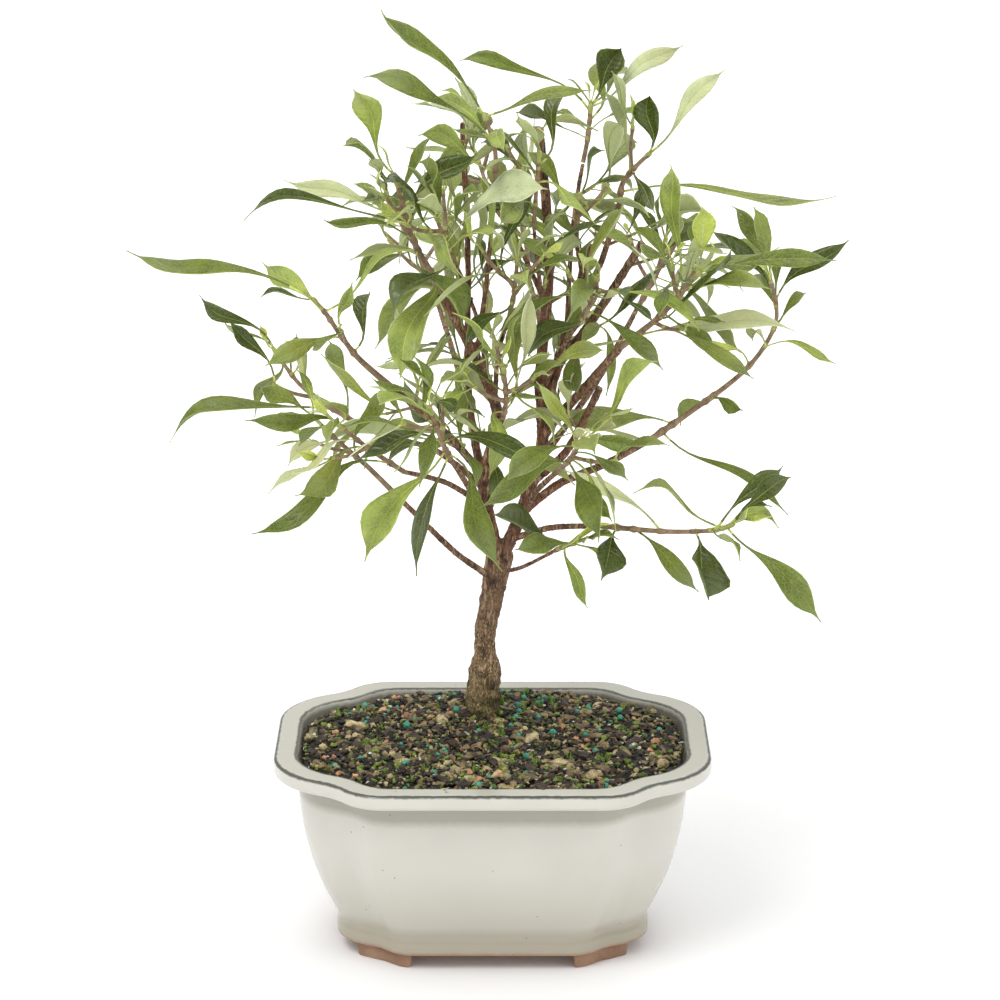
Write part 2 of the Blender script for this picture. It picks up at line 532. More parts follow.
@dataclass
class Crown:
    """The crown's twigs and leaves, grown by the rule that the model's masses follow."""

    limbs: dict
    twigs: dict = field(default_factory=dict)
    twig_trees: dict = field(default_factory=dict)
    leaves: dict = field(default_factory=dict)
    leaf_trees: dict = field(default_factory=dict)
    young: dict = field(default_factory=dict)

    def __post_init__(self) -> None:
        """Makes the search trees of the limbs."""
        self.limb_trees = [tree_of(*tube_shell(line, [radius + GAP for radius in radii], 6))
                           for line, radii in self.limbs.values()]

    def grow(self) -> None:
        """Grows all the masses: twigs, then furthest leaves, then the other leaves."""
        for mass in MASSES:
            self.grow_twigs(mass)
        for mass in MASSES:
            self.grow_reaches(mass)
        for mass in MASSES:
            self.grow_leaves(mass)
        for mass in MASSES:
            self.grow_young(mass)
        self.grow_spurs()

    def stem_line(self, mass: Mass) -> tuple[list[Vector], list[float]]:
        """The line and the radii of a mass's stem, which starts at its bough's tip."""
        line, radii = self.limbs[mass.bough]
        way = (line[-1] - line[-2]).normalized()
        points = [line[-1] + way * GAP, *(Vector(point) for point in mass.stem)]
        stem = smooth_route(points, 2)
        return stem, tapered(min(radii[-1], STEM_RADII[0]), STEM_RADII[1], len(stem))

    def grow_twigs(self, mass: Mass) -> None:
        """Grows the stem of a mass and the shoots that leave it."""
        dice = random.Random(mass.seed)
        stem, radii = self.stem_line(mass)
        twigs = [(stem, radii)]
        turn = dice.uniform(0.0, math.tau)
        for number in range(mass.shoots):
            share = FIRST_SHOOT + SHOOT_RUN * (number + 0.5) / mass.shoots
            spot, way = spot_on(stem, share)
            first, second = across(way)
            length = mass.shoot * dice.uniform(*SHOOT_SWING)
            for attempt in range(TRIES):
                angle = turn + GOLDEN_ANGLE * number + attempt * SHOOT_TURN
                out = first * math.cos(angle) + second * math.sin(angle)
                heading = (way * SHOOT_ON + out * SHOOT_OUT + UP * SHOOT_UP).normalized()
                end = spot + heading * length
                middle = spot.lerp(end, 0.5) + (out - UP * SHOOT_SAG) * length * SHOOT_BEND
                line = [spot, middle, end]
                if self.line_is_clear(line, mass.name):
                    twigs.append((line, tapered(*SHOOT_RADII, len(line))))
                    break
        self.twigs[mass.name] = twigs
        self.twig_trees[mass.name] = [
            tree_of(*tube_shell(line, [radius + GAP for radius in radii], 6)) for line, radii in twigs]

    def line_is_clear(self, line: list[Vector], owner: str) -> bool:
        """Whether a shoot stays clear of the limbs and of other masses' twigs."""
        test = tree_of(*tube_shell(line, [SHOOT_CLEAR] * len(line), 4))
        rivals = self.limb_trees + [tree for name, trees in self.twig_trees.items()
                                    if name != owner for tree in trees]
        return not any(test.overlap(tree) for tree in rivals)

    def leaf_is_clear(self, leaf: Leaf, owner: str) -> bool:
        """Whether a leaf keeps clear of limbs, other masses and its own neighbours."""
        whole = tree_of(*leaf_shell(leaf, LEAF_CLEAR))
        if any(whole.overlap(tree) for tree in self.limb_trees):
            return False
        for name, trees in self.twig_trees.items():
            if name != owner and any(whole.overlap(tree) for tree in trees):
                return False
        outer = tree_of(*leaf_shell(leaf, LEAF_CLEAR, LEAF_SKIP_START))
        for name, pairs in self.leaf_trees.items():
            for other_whole, other_outer in pairs:
                if name == owner and outer.overlap(other_outer):
                    return False
                if name != owner and whole.overlap(other_whole):
                    return False
        return not any(outer.overlap(tree) for tree in self.twig_trees[owner])

    def add_leaf(self, leaf: Leaf, owner: str) -> None:
        """Keeps a leaf."""
        self.leaves.setdefault(owner, []).append(leaf)
        self.leaf_trees.setdefault(owner, []).append(
            (tree_of(*leaf_shell(leaf)), tree_of(*leaf_shell(leaf, 0.0, LEAF_SKIP_START))))

    def grow_reaches(self, mass: Mass) -> None:
        """Grows the furthest leaves of a mass, which draw the outline of the crown."""
        stem = self.twigs[mass.name][0][0]
        length = line_length(stem)
        tints = REACH_TINTS.get(mass.name, (None,) * len(mass.reaches))
        for (share, x, y, z, width, *own_bow), tint in zip(mass.reaches, tints):
            base = spot_on(stem, min(share, 1.0 - 1.0 / length))[0]
            tip = Vector((x, y, z))
            face = FACE_FRONT if y < BACK_FROM else FACE_BACK
            for lift in (*own_bow, *BOWS):
                bow = base.lerp(tip, 0.5) + UP * (tip - base).length * lift
                leaf = Leaf(base, bow, tip, face, width, tint)
                if self.leaf_is_clear(leaf, mass.name):
                    self.add_leaf(leaf, mass.name)
                    break

    def grow_leaves(self, mass: Mass) -> None:
        """Grows the pairs of leaves on the twigs of a mass."""
        dice = random.Random(mass.seed + 1000)
        middle = spot_on(self.twigs[mass.name][0][0], 0.6)[0]
        for number, (line, _) in enumerate(self.twigs[mass.name]):
            length = line_length(line)
            pairs = mass.pairs + (1 if number == 0 else 0)
            turn = dice.uniform(0.0, math.pi)
            for pair in range(pairs):
                share = 1.0 - (1.0 + pair * mass.leaf * LEAF_STEP) / length
                draws = [dice.uniform(-1.0, 1.0) for _ in range(10)]
                if share < 0.1:
                    continue
                spot, way = spot_on(line, share)
                first, second = across(way)
                for half in range(2):
                    chance = draws[half * 5:half * 5 + 5]
                    angle = turn + pair * math.pi / 2 + half * math.pi + chance[4] * OUT_SWING
                    out = first * math.cos(angle) + second * math.sin(angle)
                    self.try_leaf(mass, spot, way, out, pair, chance, middle)

    def try_leaf(self, mass: Mass, spot: Vector, way: Vector, out: Vector, pair: int,
                 draws: list[float], middle: Vector) -> None:
        """Places one leaf of a pair, shorter or turned if it would touch something.

        Args:
            mass: the mass that it belongs to.
            spot: where it leaves its twig.
            way: the way that the twig runs there.
            out: the way that the leaf points away from the twig.
            pair: the number of its pair, counted from the twig's tip.
            draws: five seeded numbers from -1 to 1.
            middle: the middle of the space that the mass keeps to.
        """
        spread = math.radians(min(SPREAD + SPREAD_MORE * pair, SPREAD_MOST) + SPREAD_SWING * draws[0])
        length = mass.leaf * (1.0 + LENGTH_SWING * draws[1])
        length *= YOUNG_LENGTH if pair == 0 else FULL_LENGTH
        for attempt in range(TRIES):
            heading = way * math.cos(spread) + out * math.sin(spread)
            heading.z = heading.z * RISE_KEPT + RISE
            heading.normalize()
            level = math.hypot(heading.x, heading.y)
            tip = spot + heading * length - UP * length * (DROOP + DROOP_SWING * draws[2]) * level
            bow = spot + (way * 0.45 + out * 0.5 + UP * 0.18).normalized() * length * 0.5
            face = (way - heading * way.dot(heading) + UP * 0.7 + out * 0.05 * draws[3]).normalized()
            leaf = Leaf(spot, bow, tip, face, length * (LEAF_WIDTH + WIDTH_SWING * draws[3]))
            inside = (tip - middle).length < mass.space and in_reach(tip)
            if inside and not shows_sky(leaf) and self.leaf_is_clear(leaf, mass.name):
                self.add_leaf(leaf, mass.name)
                return
            length *= LEAF_SHRINK
            spread += math.radians(SPREAD_TRY) * (1 if attempt % 2 else -1)

    def grow_young(self, mass: Mass) -> None:
        """Grows the small folded leaves at the tip of each twig."""
        dice = random.Random(mass.seed + 2000)
        for line, _ in self.twigs[mass.name]:
            tip, way = spot_on(line, 1.0)
            first, second = across(way)
            turn = dice.uniform(0.0, math.tau)
            for half in range(2):
                angle = turn + half * math.pi
                out = first * math.cos(angle) + second * math.sin(angle)
                length = dice.uniform(8.0, 15.0)
                heading = (way + out * dice.uniform(0.25, 0.5) + UP * 0.1).normalized()
                end = tip + heading * length
                bow = tip + way * length * 0.5 + out * length * 0.05
                leaf = Leaf(tip - way * 0.4, bow, end, (way - heading * 0.6 + out * -0.7).normalized(),
                            length * 0.24)
                if dice.random() < YOUNG_SHARE and in_reach(end) and not shows_sky(leaf):
                    self.young.setdefault(mass.name, []).append(leaf)


    def grow_spurs(self) -> None:
        """Grows short opposite shoots with small leaves along the stems and inner boughs."""
        dice = random.Random(SPUR_SEED)
        self.twigs[SPURS] = []
        self.twig_trees[SPURS] = []
        for name in SPUR_LIMBS:
            line, radii = self.limbs[name]
            count = max(int(line_length(line) / SPUR_STEP), 1)
            turn = dice.uniform(0.0, math.pi)
            for number in range(count):
                spot, way = spot_on(line, (number + 0.6) / count)
                first, second = across(way)
                for half in range(2):
                    angle = turn + number * math.pi / 2 + half * math.pi + dice.uniform(-0.4, 0.4)
                    draws = [dice.uniform(-1.0, 1.0) for _ in range(12)]
                    out = first * math.cos(angle) + second * math.sin(angle)
                    if spot.z > SPUR_FROM and draws[11] > SPUR_BARE:
                        self.try_spur(spot, way, out, radii[0], draws)

    def try_spur(self, spot: Vector, way: Vector, out: Vector, radius: float, draws: list[float]) -> None:
        """Grows one short shoot with up to four leaves, where they find room.

        Args:
            spot: its place on the middle line of its limb.
            way: the way that the limb runs there.
            out: the way that the shoot points away from the limb.
            radius: the radius of the limb.
            draws: seeded numbers from -1 to 1.
        """
        heading = (out + way * SPUR_ALONG + UP * SPUR_UP).normalized()
        length = radius + SPUR_TWIG * (1.0 + 0.5 * draws[0])
        end = spot + heading * length
        first, second = across(heading)
        grown = 0
        for number in range(4):
            angle = draws[1] * math.pi + number * math.pi + (number // 2) * math.pi / 2
            side = first * math.cos(angle) + second * math.sin(angle)
            foot = end if number < 2 else spot.lerp(end, 0.62)
            grown += self.try_spur_leaf(foot, heading, side, SPUR_LEAF * (1.0 + 0.4 * draws[2 + number]),
                                        draws[6 + number])
        if grown:
            line = [spot, spot.lerp(end, 0.5), end]
            self.twigs[SPURS].append((line, tapered(SPUR_RADII[0], SPUR_RADII[1], len(line))))

    def try_spur_leaf(self, foot: Vector, heading: Vector, side: Vector, length: float,
                      draw: float) -> bool:
        """Grows one small leaf if it finds room, and says whether it did."""
        for spread in SPUR_SPREADS:
            way = (heading * math.cos(spread) + side * math.sin(spread)).normalized()
            tip = foot + way * length - UP * length * (0.14 + 0.2 * draw)
            bow = foot + (heading * 0.55 + side * 0.35 + UP * 0.12).normalized() * length * 0.5
            face = (heading - way * heading.dot(way) + UP * 0.6).normalized()
            leaf = Leaf(foot, bow, tip, face, length * (LEAF_WIDTH + WIDTH_SWING * draw))
            if in_reach(tip) and not shows_sky(leaf) and self.leaf_is_clear(leaf, SPURS):
                self.add_leaf(leaf, SPURS)
                return True
            length *= LEAF_SHRINK
        return False


def add_piece(name: str, shape: bmesh.types.BMesh, finishes: list, smooth: bool = True):
    """Makes an object from a bmesh, dresses it and lets it ride with the plant.

    Args:
        name: the piece's name.
        shape: its bmesh, which is freed.
        finishes: the materials of its slots, in order.
        smooth: whether its faces are shaded smooth.

    Returns:
        The new object.
    """
    mesh = bpy.data.meshes.new(name)
    if smooth:
        for face in shape.faces:
            face.smooth = True
    shape.to_mesh(mesh)
    shape.free()
    for finish in finishes:
        mesh.materials.append(finish)
    piece = bpy.data.objects.new(name, mesh)
    bpy.context.scene.collection.objects.link(piece)
    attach(piece, ROOT)
    LOG.info("%s: %d faces", name, len(mesh.polygons))
    return piece


def pour(part: bmesh.types.BMesh, whole: bmesh.types.BMesh) -> None:
    """Adds one bmesh to another and frees it."""
    mesh = bpy.data.meshes.new("part")
    part.to_mesh(mesh)
    part.free()
    whole.from_mesh(mesh)
    bpy.data.meshes.remove(mesh)


class NodeWork:
    """A short way to add nodes to a material or a group and to link them."""

    def __init__(self, tree) -> None:
        """Keeps the node tree."""
        self.tree = tree

    def add(self, kind: str, inputs: dict | None = None, **settings):
        """Adds a node.

        Args:
            kind: the node's type.
            inputs: for each input's name or number, a value or a socket to link.
            settings: the node's own settings.

        Returns:
            The node.
        """
        node = self.tree.nodes.new(kind)
        for name, value in settings.items():
            setattr(node, name, value)
        for name, value in (inputs or {}).items():
            if isinstance(value, bpy.types.NodeSocket):
                self.tree.links.new(value, node.inputs[name])
            else:
                node.inputs[name].default_value = value
        return node

    def ramp(self, factor, stops: list):
        """A colour ramp.

        Args:
            factor: the socket that drives it.
            stops: for each stop its place and its colour.

        Returns:
            The ramp's colour socket.
        """
        node = self.add("ShaderNodeValToRGB", {"Fac": factor})
        elements = node.color_ramp.elements
        while len(elements) < len(stops):
            elements.new(0.5)
        for element, (place, colour) in zip(elements, stops):
            element.position = place
            element.color = (*colour, 1.0)
        return node.outputs["Color"]

    def mix(self, factor, first, second, blend: str = "MIX"):
        """A mix of two colours, as a socket."""
        node = self.add("ShaderNodeMix", data_type="RGBA", blend_type=blend)
        for name, value in ((0, factor), (6, first), (7, second)):
            if isinstance(value, bpy.types.NodeSocket):
                self.tree.links.new(value, node.inputs[name])
            elif name == 0:
                node.inputs[name].default_value = value
            else:
                node.inputs[name].default_value = (*value, 1.0)
        return node.outputs[2]

    def maths(self, operation: str, first, second=0.0, third=0.0):
        """The result of a sum on one, two or three values, as a socket."""
        values = {number: value for number, value in enumerate((first, second, third))}
        return self.add("ShaderNodeMath", values, operation=operation).outputs[0]

    def span(self, value: bpy.types.NodeSocket, low: float, high: float, start: float,
             end: float) -> bpy.types.NodeSocket:
        """A value that runs from start to end while another runs from low to high."""
        node = self.add("ShaderNodeMapRange", {"Value": value, 1: low, 2: high, 3: start, 4: end})
        return node.outputs[0]

    def band(self, value: bpy.types.NodeSocket, middle: float, half: float, soft: float,
             strength: float) -> bpy.types.NodeSocket:
        """A mask that is strong within a half width of a middle and fades out past it."""
        away = self.maths("ABSOLUTE", self.maths("SUBTRACT", value, middle))
        return self.span(away, half, half + soft, strength, 0.0)


def new_material(name: str, roughness: float, **sockets):
    """A material with a Principled shader, whose plain values are set on its sockets.

    Args:
        name: the material's name.
        roughness: its plain roughness.
        sockets: plain values for other sockets, with _ for a space in their names.

    Returns:
        The material, its node work and its shader.
    """
    material = bpy.data.materials.new(name)
    material.use_nodes = True
    work = NodeWork(material.node_tree)
    shader = material.node_tree.nodes["Principled BSDF"]
    shader.inputs["Roughness"].default_value = roughness
    shader.inputs["Metallic"].default_value = 0.0
    for socket, value in sockets.items():
        shader.inputs[socket.replace("_", " ")].default_value = value
    return material, work, shader


def mottle_group():
    """The shared group that gives soft patches and fine grain, from -1 to 1."""
    group = bpy.data.node_groups.new("mottle", "ShaderNodeTree")
    for name, value in (("Patch Scale", 60.0), ("Grain Scale", 600.0)):
        socket = group.interface.new_socket(name=name, in_out="INPUT", socket_type="NodeSocketFloat")
        socket.default_value = value
    for name in ("Patches", "Grain"):
        group.interface.new_socket(name=name, in_out="OUTPUT", socket_type="NodeSocketFloat")
    work = NodeWork(group)
    taken = work.add("NodeGroupInput")
    given = work.add("NodeGroupOutput")
    place = work.add("ShaderNodeTexCoord").outputs["Object"]
    for number, (name, detail) in enumerate((("Patch Scale", 3.0), ("Grain Scale", 2.0))):
        spots = work.add("ShaderNodeTexNoise", {"Vector": place, "Scale": taken.outputs[name],
                                                "Detail": detail})
        group.links.new(spots.outputs["Fac"], given.inputs[number])
    return group


@dataclass(frozen=True)
class GlazeFinish:
    """Off-white glaze, drawn up the pot's profile, that runs thin and dark over its edges."""

    name: str = "pot_glaze"
    colour: tuple = (0.62, 0.605, 0.54)
    low: tuple = (0.5, 0.475, 0.4)
    plinth: tuple = (0.38, 0.345, 0.265)
    band: tuple = (0.52, 0.51, 0.43)
    line: tuple = (0.045, 0.05, 0.035)
    shade: tuple = (0.34, 0.315, 0.26)
    inside: tuple = (0.13, 0.12, 0.085)
    clay: tuple = (0.34, 0.19, 0.11)
    roughness: float = 0.2

    def build(self, mottle: bpy.types.ShaderNodeTree, marks: dict[str, float]) -> bpy.types.Material:
        """Makes the material.

        Args:
            mottle: the shared group of patches and grain.
            marks: places along the profile, in millimetres, by name.

        Returns:
            The material.
        """
        material, work, shader = new_material(self.name, self.roughness, Coat_Weight=0.2,
                                              Coat_Roughness=0.08)
        spots = work.add("ShaderNodeGroup", node_tree=mottle)
        spots.inputs["Patch Scale"].default_value = 34.0
        spots.inputs["Grain Scale"].default_value = 420.0
        patches = spots.outputs["Patches"]
        run = work.add("ShaderNodeAttribute", attribute_name=PROFILE).outputs["Fac"]
        wander = work.maths("MULTIPLY_ADD", spots.outputs["Grain"], 0.9, -0.45)
        loose = work.maths("ADD", run, wander)
        base = work.ramp(patches, [(0.32, tuple(value * 0.95 for value in self.colour)),
                                   (0.68, self.colour)])
        base = work.mix(work.span(run, marks["groove"], marks["belly"], 0.9, 0.0), base, self.low)
        base = work.mix(work.span(loose, marks["groove"] - 1.0, marks["groove"] + 7.0, 1.0, 0.0), base,
                        self.plinth)
        base = work.mix(work.band(loose, marks["tuck"] - 4.6, 2.0, 3.4, 0.8), base, self.shade)
        flat = work.maths("MULTIPLY", work.span(run, marks["outer"], marks["outer"] + 0.6, 0.0, 1.0),
                          work.span(run, marks["inner"], marks["inner"] + 0.6, 1.0, 0.0))
        base = work.mix(flat, base, self.band)
        base = work.mix(work.band(loose, marks["outer"] - 0.8, 0.4, 0.7, 0.94), base, self.line)
        base = work.mix(work.span(loose, marks["inner"] + 0.9, marks["inner"] + 2.4, 0.0, 0.8), base, self.inside)
        base = work.mix(work.band(loose, marks["inner"], 0.35, 0.6, 0.94), base, self.line)
        base = work.mix(work.span(loose, marks["foot"] + 0.9, marks["foot"] + 2.4, 1.0, 0.0), base, self.clay)
        place = work.add("ShaderNodeTexCoord").outputs["Object"]
        holes = work.add("ShaderNodeTexVoronoi", {"Vector": place, "Scale": 190.0})
        pin = work.maths("LESS_THAN", holes.outputs["Distance"], 0.07)
        sparse = work.maths("GREATER_THAN", patches, 0.58)
        pin = work.maths("MULTIPLY", pin, sparse)
        base = work.mix(work.maths("MULTIPLY", pin, 0.6), base, (0.2, 0.16, 0.1))
        work.tree.links.new(base, shader.inputs["Base Color"])
        lift = work.maths("SUBTRACT", work.maths("MULTIPLY", patches, 0.8), pin)
        bump = work.add("ShaderNodeBump", {"Height": lift, "Strength": 0.25, "Distance": 0.0006})
        work.tree.links.new(bump.outputs[0], shader.inputs["Normal"])
        return material


@dataclass(frozen=True)
class EarthFinish:
    """A dull, grainy finish for clay, soil, grit, twigs and cut wood."""

    name: str
    colours: tuple
    patch_scale: float = 120.0
    grain_scale: float = 1400.0
    roughness: float = 0.9
    relief: float = 0.0004
    grime: float = 0.35

    def build(self, mottle: bpy.types.ShaderNodeTree) -> bpy.types.Material:
        """Makes the material, whose patches run through its colours."""
        material, work, shader = new_material(self.name, self.roughness)
        spots = work.add("ShaderNodeGroup", node_tree=mottle)
        spots.inputs["Patch Scale"].default_value = self.patch_scale
        spots.inputs["Grain Scale"].default_value = self.grain_scale
        count = max(len(self.colours) - 1, 1)
        stops = [(0.32 + 0.36 * index / count, colour) for index, colour in enumerate(self.colours)]
        base = work.ramp(spots.outputs["Patches"], stops)
        base = work.mix(self.grime, base, work.ramp(spots.outputs["Grain"], [
            (0.35, (0.35, 0.35, 0.35)), (0.65, (1.0, 1.0, 1.0))]), "MULTIPLY")
        work.tree.links.new(base, shader.inputs["Base Color"])
        bump = work.add("ShaderNodeBump", {"Height": spots.outputs["Grain"], "Strength": 0.7,
                                           "Distance": self.relief})
        work.tree.links.new(bump.outputs[0], shader.inputs["Normal"])
        return material


@dataclass(frozen=True)
class BarkFinish:
    """Red-brown bark with pale streaks, dark cracks and tan flecks, mossy at the soil."""

    name: str = "bark"
    dark: tuple = (0.028, 0.016, 0.012)
    brown: tuple = (0.2, 0.09, 0.05)
    light: tuple = (0.55, 0.37, 0.23)
    outer: tuple = (0.27, 0.185, 0.11)
    fleck: tuple = (0.62, 0.46, 0.25)
    foot: tuple = (0.24, 0.17, 0.08)
    moss: tuple = (0.1, 0.125, 0.03)

    def build(self, mottle: bpy.types.ShaderNodeTree) -> bpy.types.Material:
        """Makes the material."""
        material, work, shader = new_material(self.name, 0.8, Specular_IOR_Level=0.3)
        spots = work.add("ShaderNodeGroup", node_tree=mottle)
        spots.inputs["Patch Scale"].default_value = 230.0
        spots.inputs["Grain Scale"].default_value = 110.0
        patches = spots.outputs["Patches"]
        broad = spots.outputs["Grain"]
        place = work.add("ShaderNodeTexCoord").outputs["Object"]
        noises = []
        for scale, drawn in ((1500.0, 0.2), (640.0, 0.2), (1700.0, 0.55)):
            vector = work.add("ShaderNodeMapping", {"Vector": place, "Scale": (1.0, 1.0, drawn)}).outputs[0]
            noises.append(work.add("ShaderNodeTexNoise", {"Vector": vector, "Scale": scale,
                                                          "Detail": 3.0}).outputs["Fac"])
        fibres, streaks, flecks = noises
        split = work.add("ShaderNodeSeparateXYZ", {0: place})
        height = split.outputs["Z"]
        away = work.maths("SQRT", work.maths("ADD", work.maths("POWER", work.maths(
            "SUBTRACT", split.outputs["X"], 0.006), 2.0), work.maths("POWER", work.maths(
                "SUBTRACT", split.outputs["Y"], 0.012), 2.0)))
        tan = work.maths("MAXIMUM", work.span(away, 0.022, 0.06, 0.0, 0.8),
                         work.span(height, 0.165, 0.125, 0.0, 0.6))
        base = work.mix(tan, self.brown, self.outer)
        base = work.mix(work.span(height, 0.112, 0.092, 0.0, 0.8), base, self.foot)
        base = work.mix(work.span(patches, 0.34, 0.54, 0.75, 0.0), base, self.dark)
        base = work.mix(work.span(streaks, 0.54, 0.64, 0.0, 0.7), base, self.light)
        cracked = work.span(height, 0.115, 0.145, 0.5, 0.85)
        base = work.mix(work.maths("MULTIPLY", cracked, work.span(fibres, 0.36, 0.5, 1.0, 0.0)), base,
                        self.dark)
        low = work.span(height, 0.135, 0.1, 0.12, 0.85)
        base = work.mix(work.maths("MULTIPLY", low, work.span(flecks, 0.53, 0.61, 0.0, 1.0)), base, self.fleck)
        damp = work.span(height, 0.1, 0.09, 0.0, 1.0)
        base = work.mix(work.maths("MULTIPLY", damp, work.span(broad, 0.5, 0.6, 0.0, 0.75)), base, self.dark)
        damp = work.span(height, 0.094, 0.08, 0.0, 1.0)
        base = work.mix(work.maths("MULTIPLY", damp, work.span(fibres, 0.46, 0.56, 0.0, 0.8)), base, self.moss)
        work.tree.links.new(base, shader.inputs["Base Color"])
        relief = work.maths("ADD", fibres, work.maths("MULTIPLY", streaks, 0.8))
        bump = work.add("ShaderNodeBump", {"Height": relief, "Strength": 1.0, "Distance": 0.0006})
        work.tree.links.new(bump.outputs[0], shader.inputs["Normal"])
        return material


@dataclass(frozen=True)
class LeafFinish:
    """A leaf's surface: patches, a shaded foot, a fine net, side veins and a pale margin."""

    name: str
    colour: tuple
    vein: tuple
    roughness: tuple = (0.3, 0.5)
    veins: float = 12.0
    lean: float = 3.6
    vein_share: float = 0.4
    net: float = 0.4
    swing: float = 0.34
    relief: float = 0.00022
    bloom: tuple = (0.44, 0.5, 0.34)

    def build(self, mottle: bpy.types.ShaderNodeTree) -> bpy.types.Material:
        """Makes the material."""
        material, work, shader = new_material(self.name, self.roughness[0], Specular_IOR_Level=0.34)
        place = work.add("ShaderNodeUVMap", uv_map=BLADE_MAP).outputs[0]
        split = work.add("ShaderNodeSeparateXYZ", {0: place})
        away = work.maths("ABSOLUTE", work.maths("SUBTRACT", split.outputs["Y"], 0.5))
        run = work.maths("SUBTRACT", work.maths("MULTIPLY", split.outputs["X"], self.veins),
                         work.maths("MULTIPLY", away, self.lean))
        wave = work.maths("ABSOLUTE", work.maths("SINE", work.maths("MULTIPLY", run, math.pi)))
        vein = work.span(wave, 0.0, 0.25, self.vein_share, 0.0)
        spots = work.add("ShaderNodeGroup", node_tree=mottle)
        spots.inputs["Patch Scale"].default_value = 120.0
        spots.inputs["Grain Scale"].default_value = 28.0
        patches = spots.outputs["Patches"]
        broad = spots.outputs["Grain"]
        base = work.ramp(patches, [(0.34, tuple(value * (1.0 - self.swing) for value in self.colour)),
                                   (0.5, tuple(value * 0.95 for value in self.colour)),
                                   (0.66, tuple(value * (1.0 + self.swing) for value in self.colour))])
        yellowed = (self.colour[0] * 1.4, self.colour[1] * 1.16, self.colour[2] * 0.8)
        base = work.mix(work.span(broad, 0.42, 0.66, 0.0, 0.6), base, yellowed)
        bloom = work.maths("MULTIPLY", work.span(split.outputs["X"], 0.62, 0.95, 0.0, 0.3),
                           work.span(broad, 0.4, 0.6, 0.0, 1.0))
        base = work.mix(bloom, base, self.bloom)
        shaded = tuple(value * 0.42 for value in self.colour)
        base = work.mix(work.span(split.outputs["X"], STALK, 0.5, 0.55, 0.0), base, shaded)
        cells = work.add("ShaderNodeTexVoronoi", {"Scale": 800.0, "Vector": work.add(
            "ShaderNodeTexCoord").outputs["Object"]}, feature="DISTANCE_TO_EDGE")
        base = work.mix(work.span(cells.outputs["Distance"], 0.0, 0.16, self.net, 0.0), base, self.vein)
        base = work.mix(vein, base, self.vein)
        rim = tuple(min(value * 1.25, 0.8) for value in self.vein)
        base = work.mix(work.span(away, 0.45, 0.48, 0.0, 0.8), base, rim)
        work.tree.links.new(base, shader.inputs["Base Color"])
        work.tree.links.new(work.span(patches, 0.35, 0.65, *self.roughness), shader.inputs["Roughness"])
        bump = work.add("ShaderNodeBump", {"Height": wave, "Strength": 0.5, "Distance": self.relief})
        work.tree.links.new(bump.outputs[0], shader.inputs["Normal"])
        return material


LEAF_FINISHES = {
    Tint.DEEP: LeafFinish("leaf_deep", (0.042, 0.062, 0.004), (0.14, 0.19, 0.035), (0.2, 0.38)),
    Tint.MID: LeafFinish("leaf_mid", (0.108, 0.15, 0.013), (0.26, 0.325, 0.08)),
    Tint.OLIVE: LeafFinish("leaf_olive", (0.175, 0.22, 0.035), (0.33, 0.38, 0.12)),
    Tint.FRESH: LeafFinish("leaf_fresh", (0.235, 0.305, 0.05), (0.4, 0.47, 0.14)),
    Tint.PALE: LeafFinish("leaf_pale", (0.48, 0.54, 0.29), (0.62, 0.67, 0.42), (0.45, 0.6), swing=0.14),
    Tint.LIME: LeafFinish("leaf_lime", (0.42, 0.5, 0.08), (0.58, 0.65, 0.18), swing=0.25),
    Tint.UNDER: LeafFinish("leaf_under", (0.4, 0.46, 0.21), (0.54, 0.6, 0.33), (0.55, 0.7), swing=0.14),
}
# The tint of a leaf's midrib by the tint of its blade
RIB_TINTS = {Tint.DEEP: Tint.OLIVE, Tint.MID: Tint.OLIVE, Tint.OLIVE: Tint.FRESH, Tint.FRESH: Tint.LIME,
             Tint.PALE: Tint.UNDER, Tint.LIME: Tint.PALE, Tint.UNDER: Tint.PALE}
STALK_COLOUR = (0.55, 0.6, 0.16)
TINT_SHARES = ((Tint.DEEP, 0.24), (Tint.MID, 0.58), (Tint.OLIVE, 0.76), (Tint.FRESH, 0.95), (Tint.PALE, 1.0))
SPUR_TINT_SHARES = ((Tint.DEEP, 0.2), (Tint.MID, 0.5), (Tint.OLIVE, 0.7), (Tint.FRESH, 0.92),
                    (Tint.PALE, 1.0))

# The blade: its stalk and midrib, and how its mesh is cut
BLADE_MAP = "blade"
STALK = 0.07                  # the share of a leaf that is bare stalk
STALK_HALF = 0.42             # half the width of the stalk at its foot
STALK_TAPER = 0.62            # how much of that is gone at the leaf's tip
RIB_HALF = 0.26
RIB_TAPER = 0.8
WIDTH_SHARE = 0.56            # half the blade's greatest width, as a share of the leaf's width
TWIST_FROM = 0.25             # the share of the length at which a twisted blade is level
BLADE_THICK = 0.32
COLUMNS = ((-1, 1.0), (-1, 0.52), (-1, 0.0), (1, 0.0), (1, 0.52), (1, 1.0))
STATIONS = ((18.0, 8), (32.0, 12), (60.0, 15), (999.0, 18))   # up to a length, how many stretches
BODY_END = 0.94               # the share of the length at which the blade narrows into its drip tip
TIP_FROM = 0.72               # the shares from which the drip tip tapers and bends
TIP_HALF = 0.21               # half its width there, as a share of the leaf's width
CROWDING = 1.25               # how much closer the stretches lie towards the tip
BLADE_SPANS = ((2.0, 3.4), (0.8, 1.35), (0.12, 0.7), (0.04, 0.26), (0.05, 0.2), (1.2, 3.2),
               (0.0, math.tau), (-1.5, 1.5), (-0.09, 0.11), (-0.11, 0.11), (-0.07, 0.07), (0.8, 1.08))


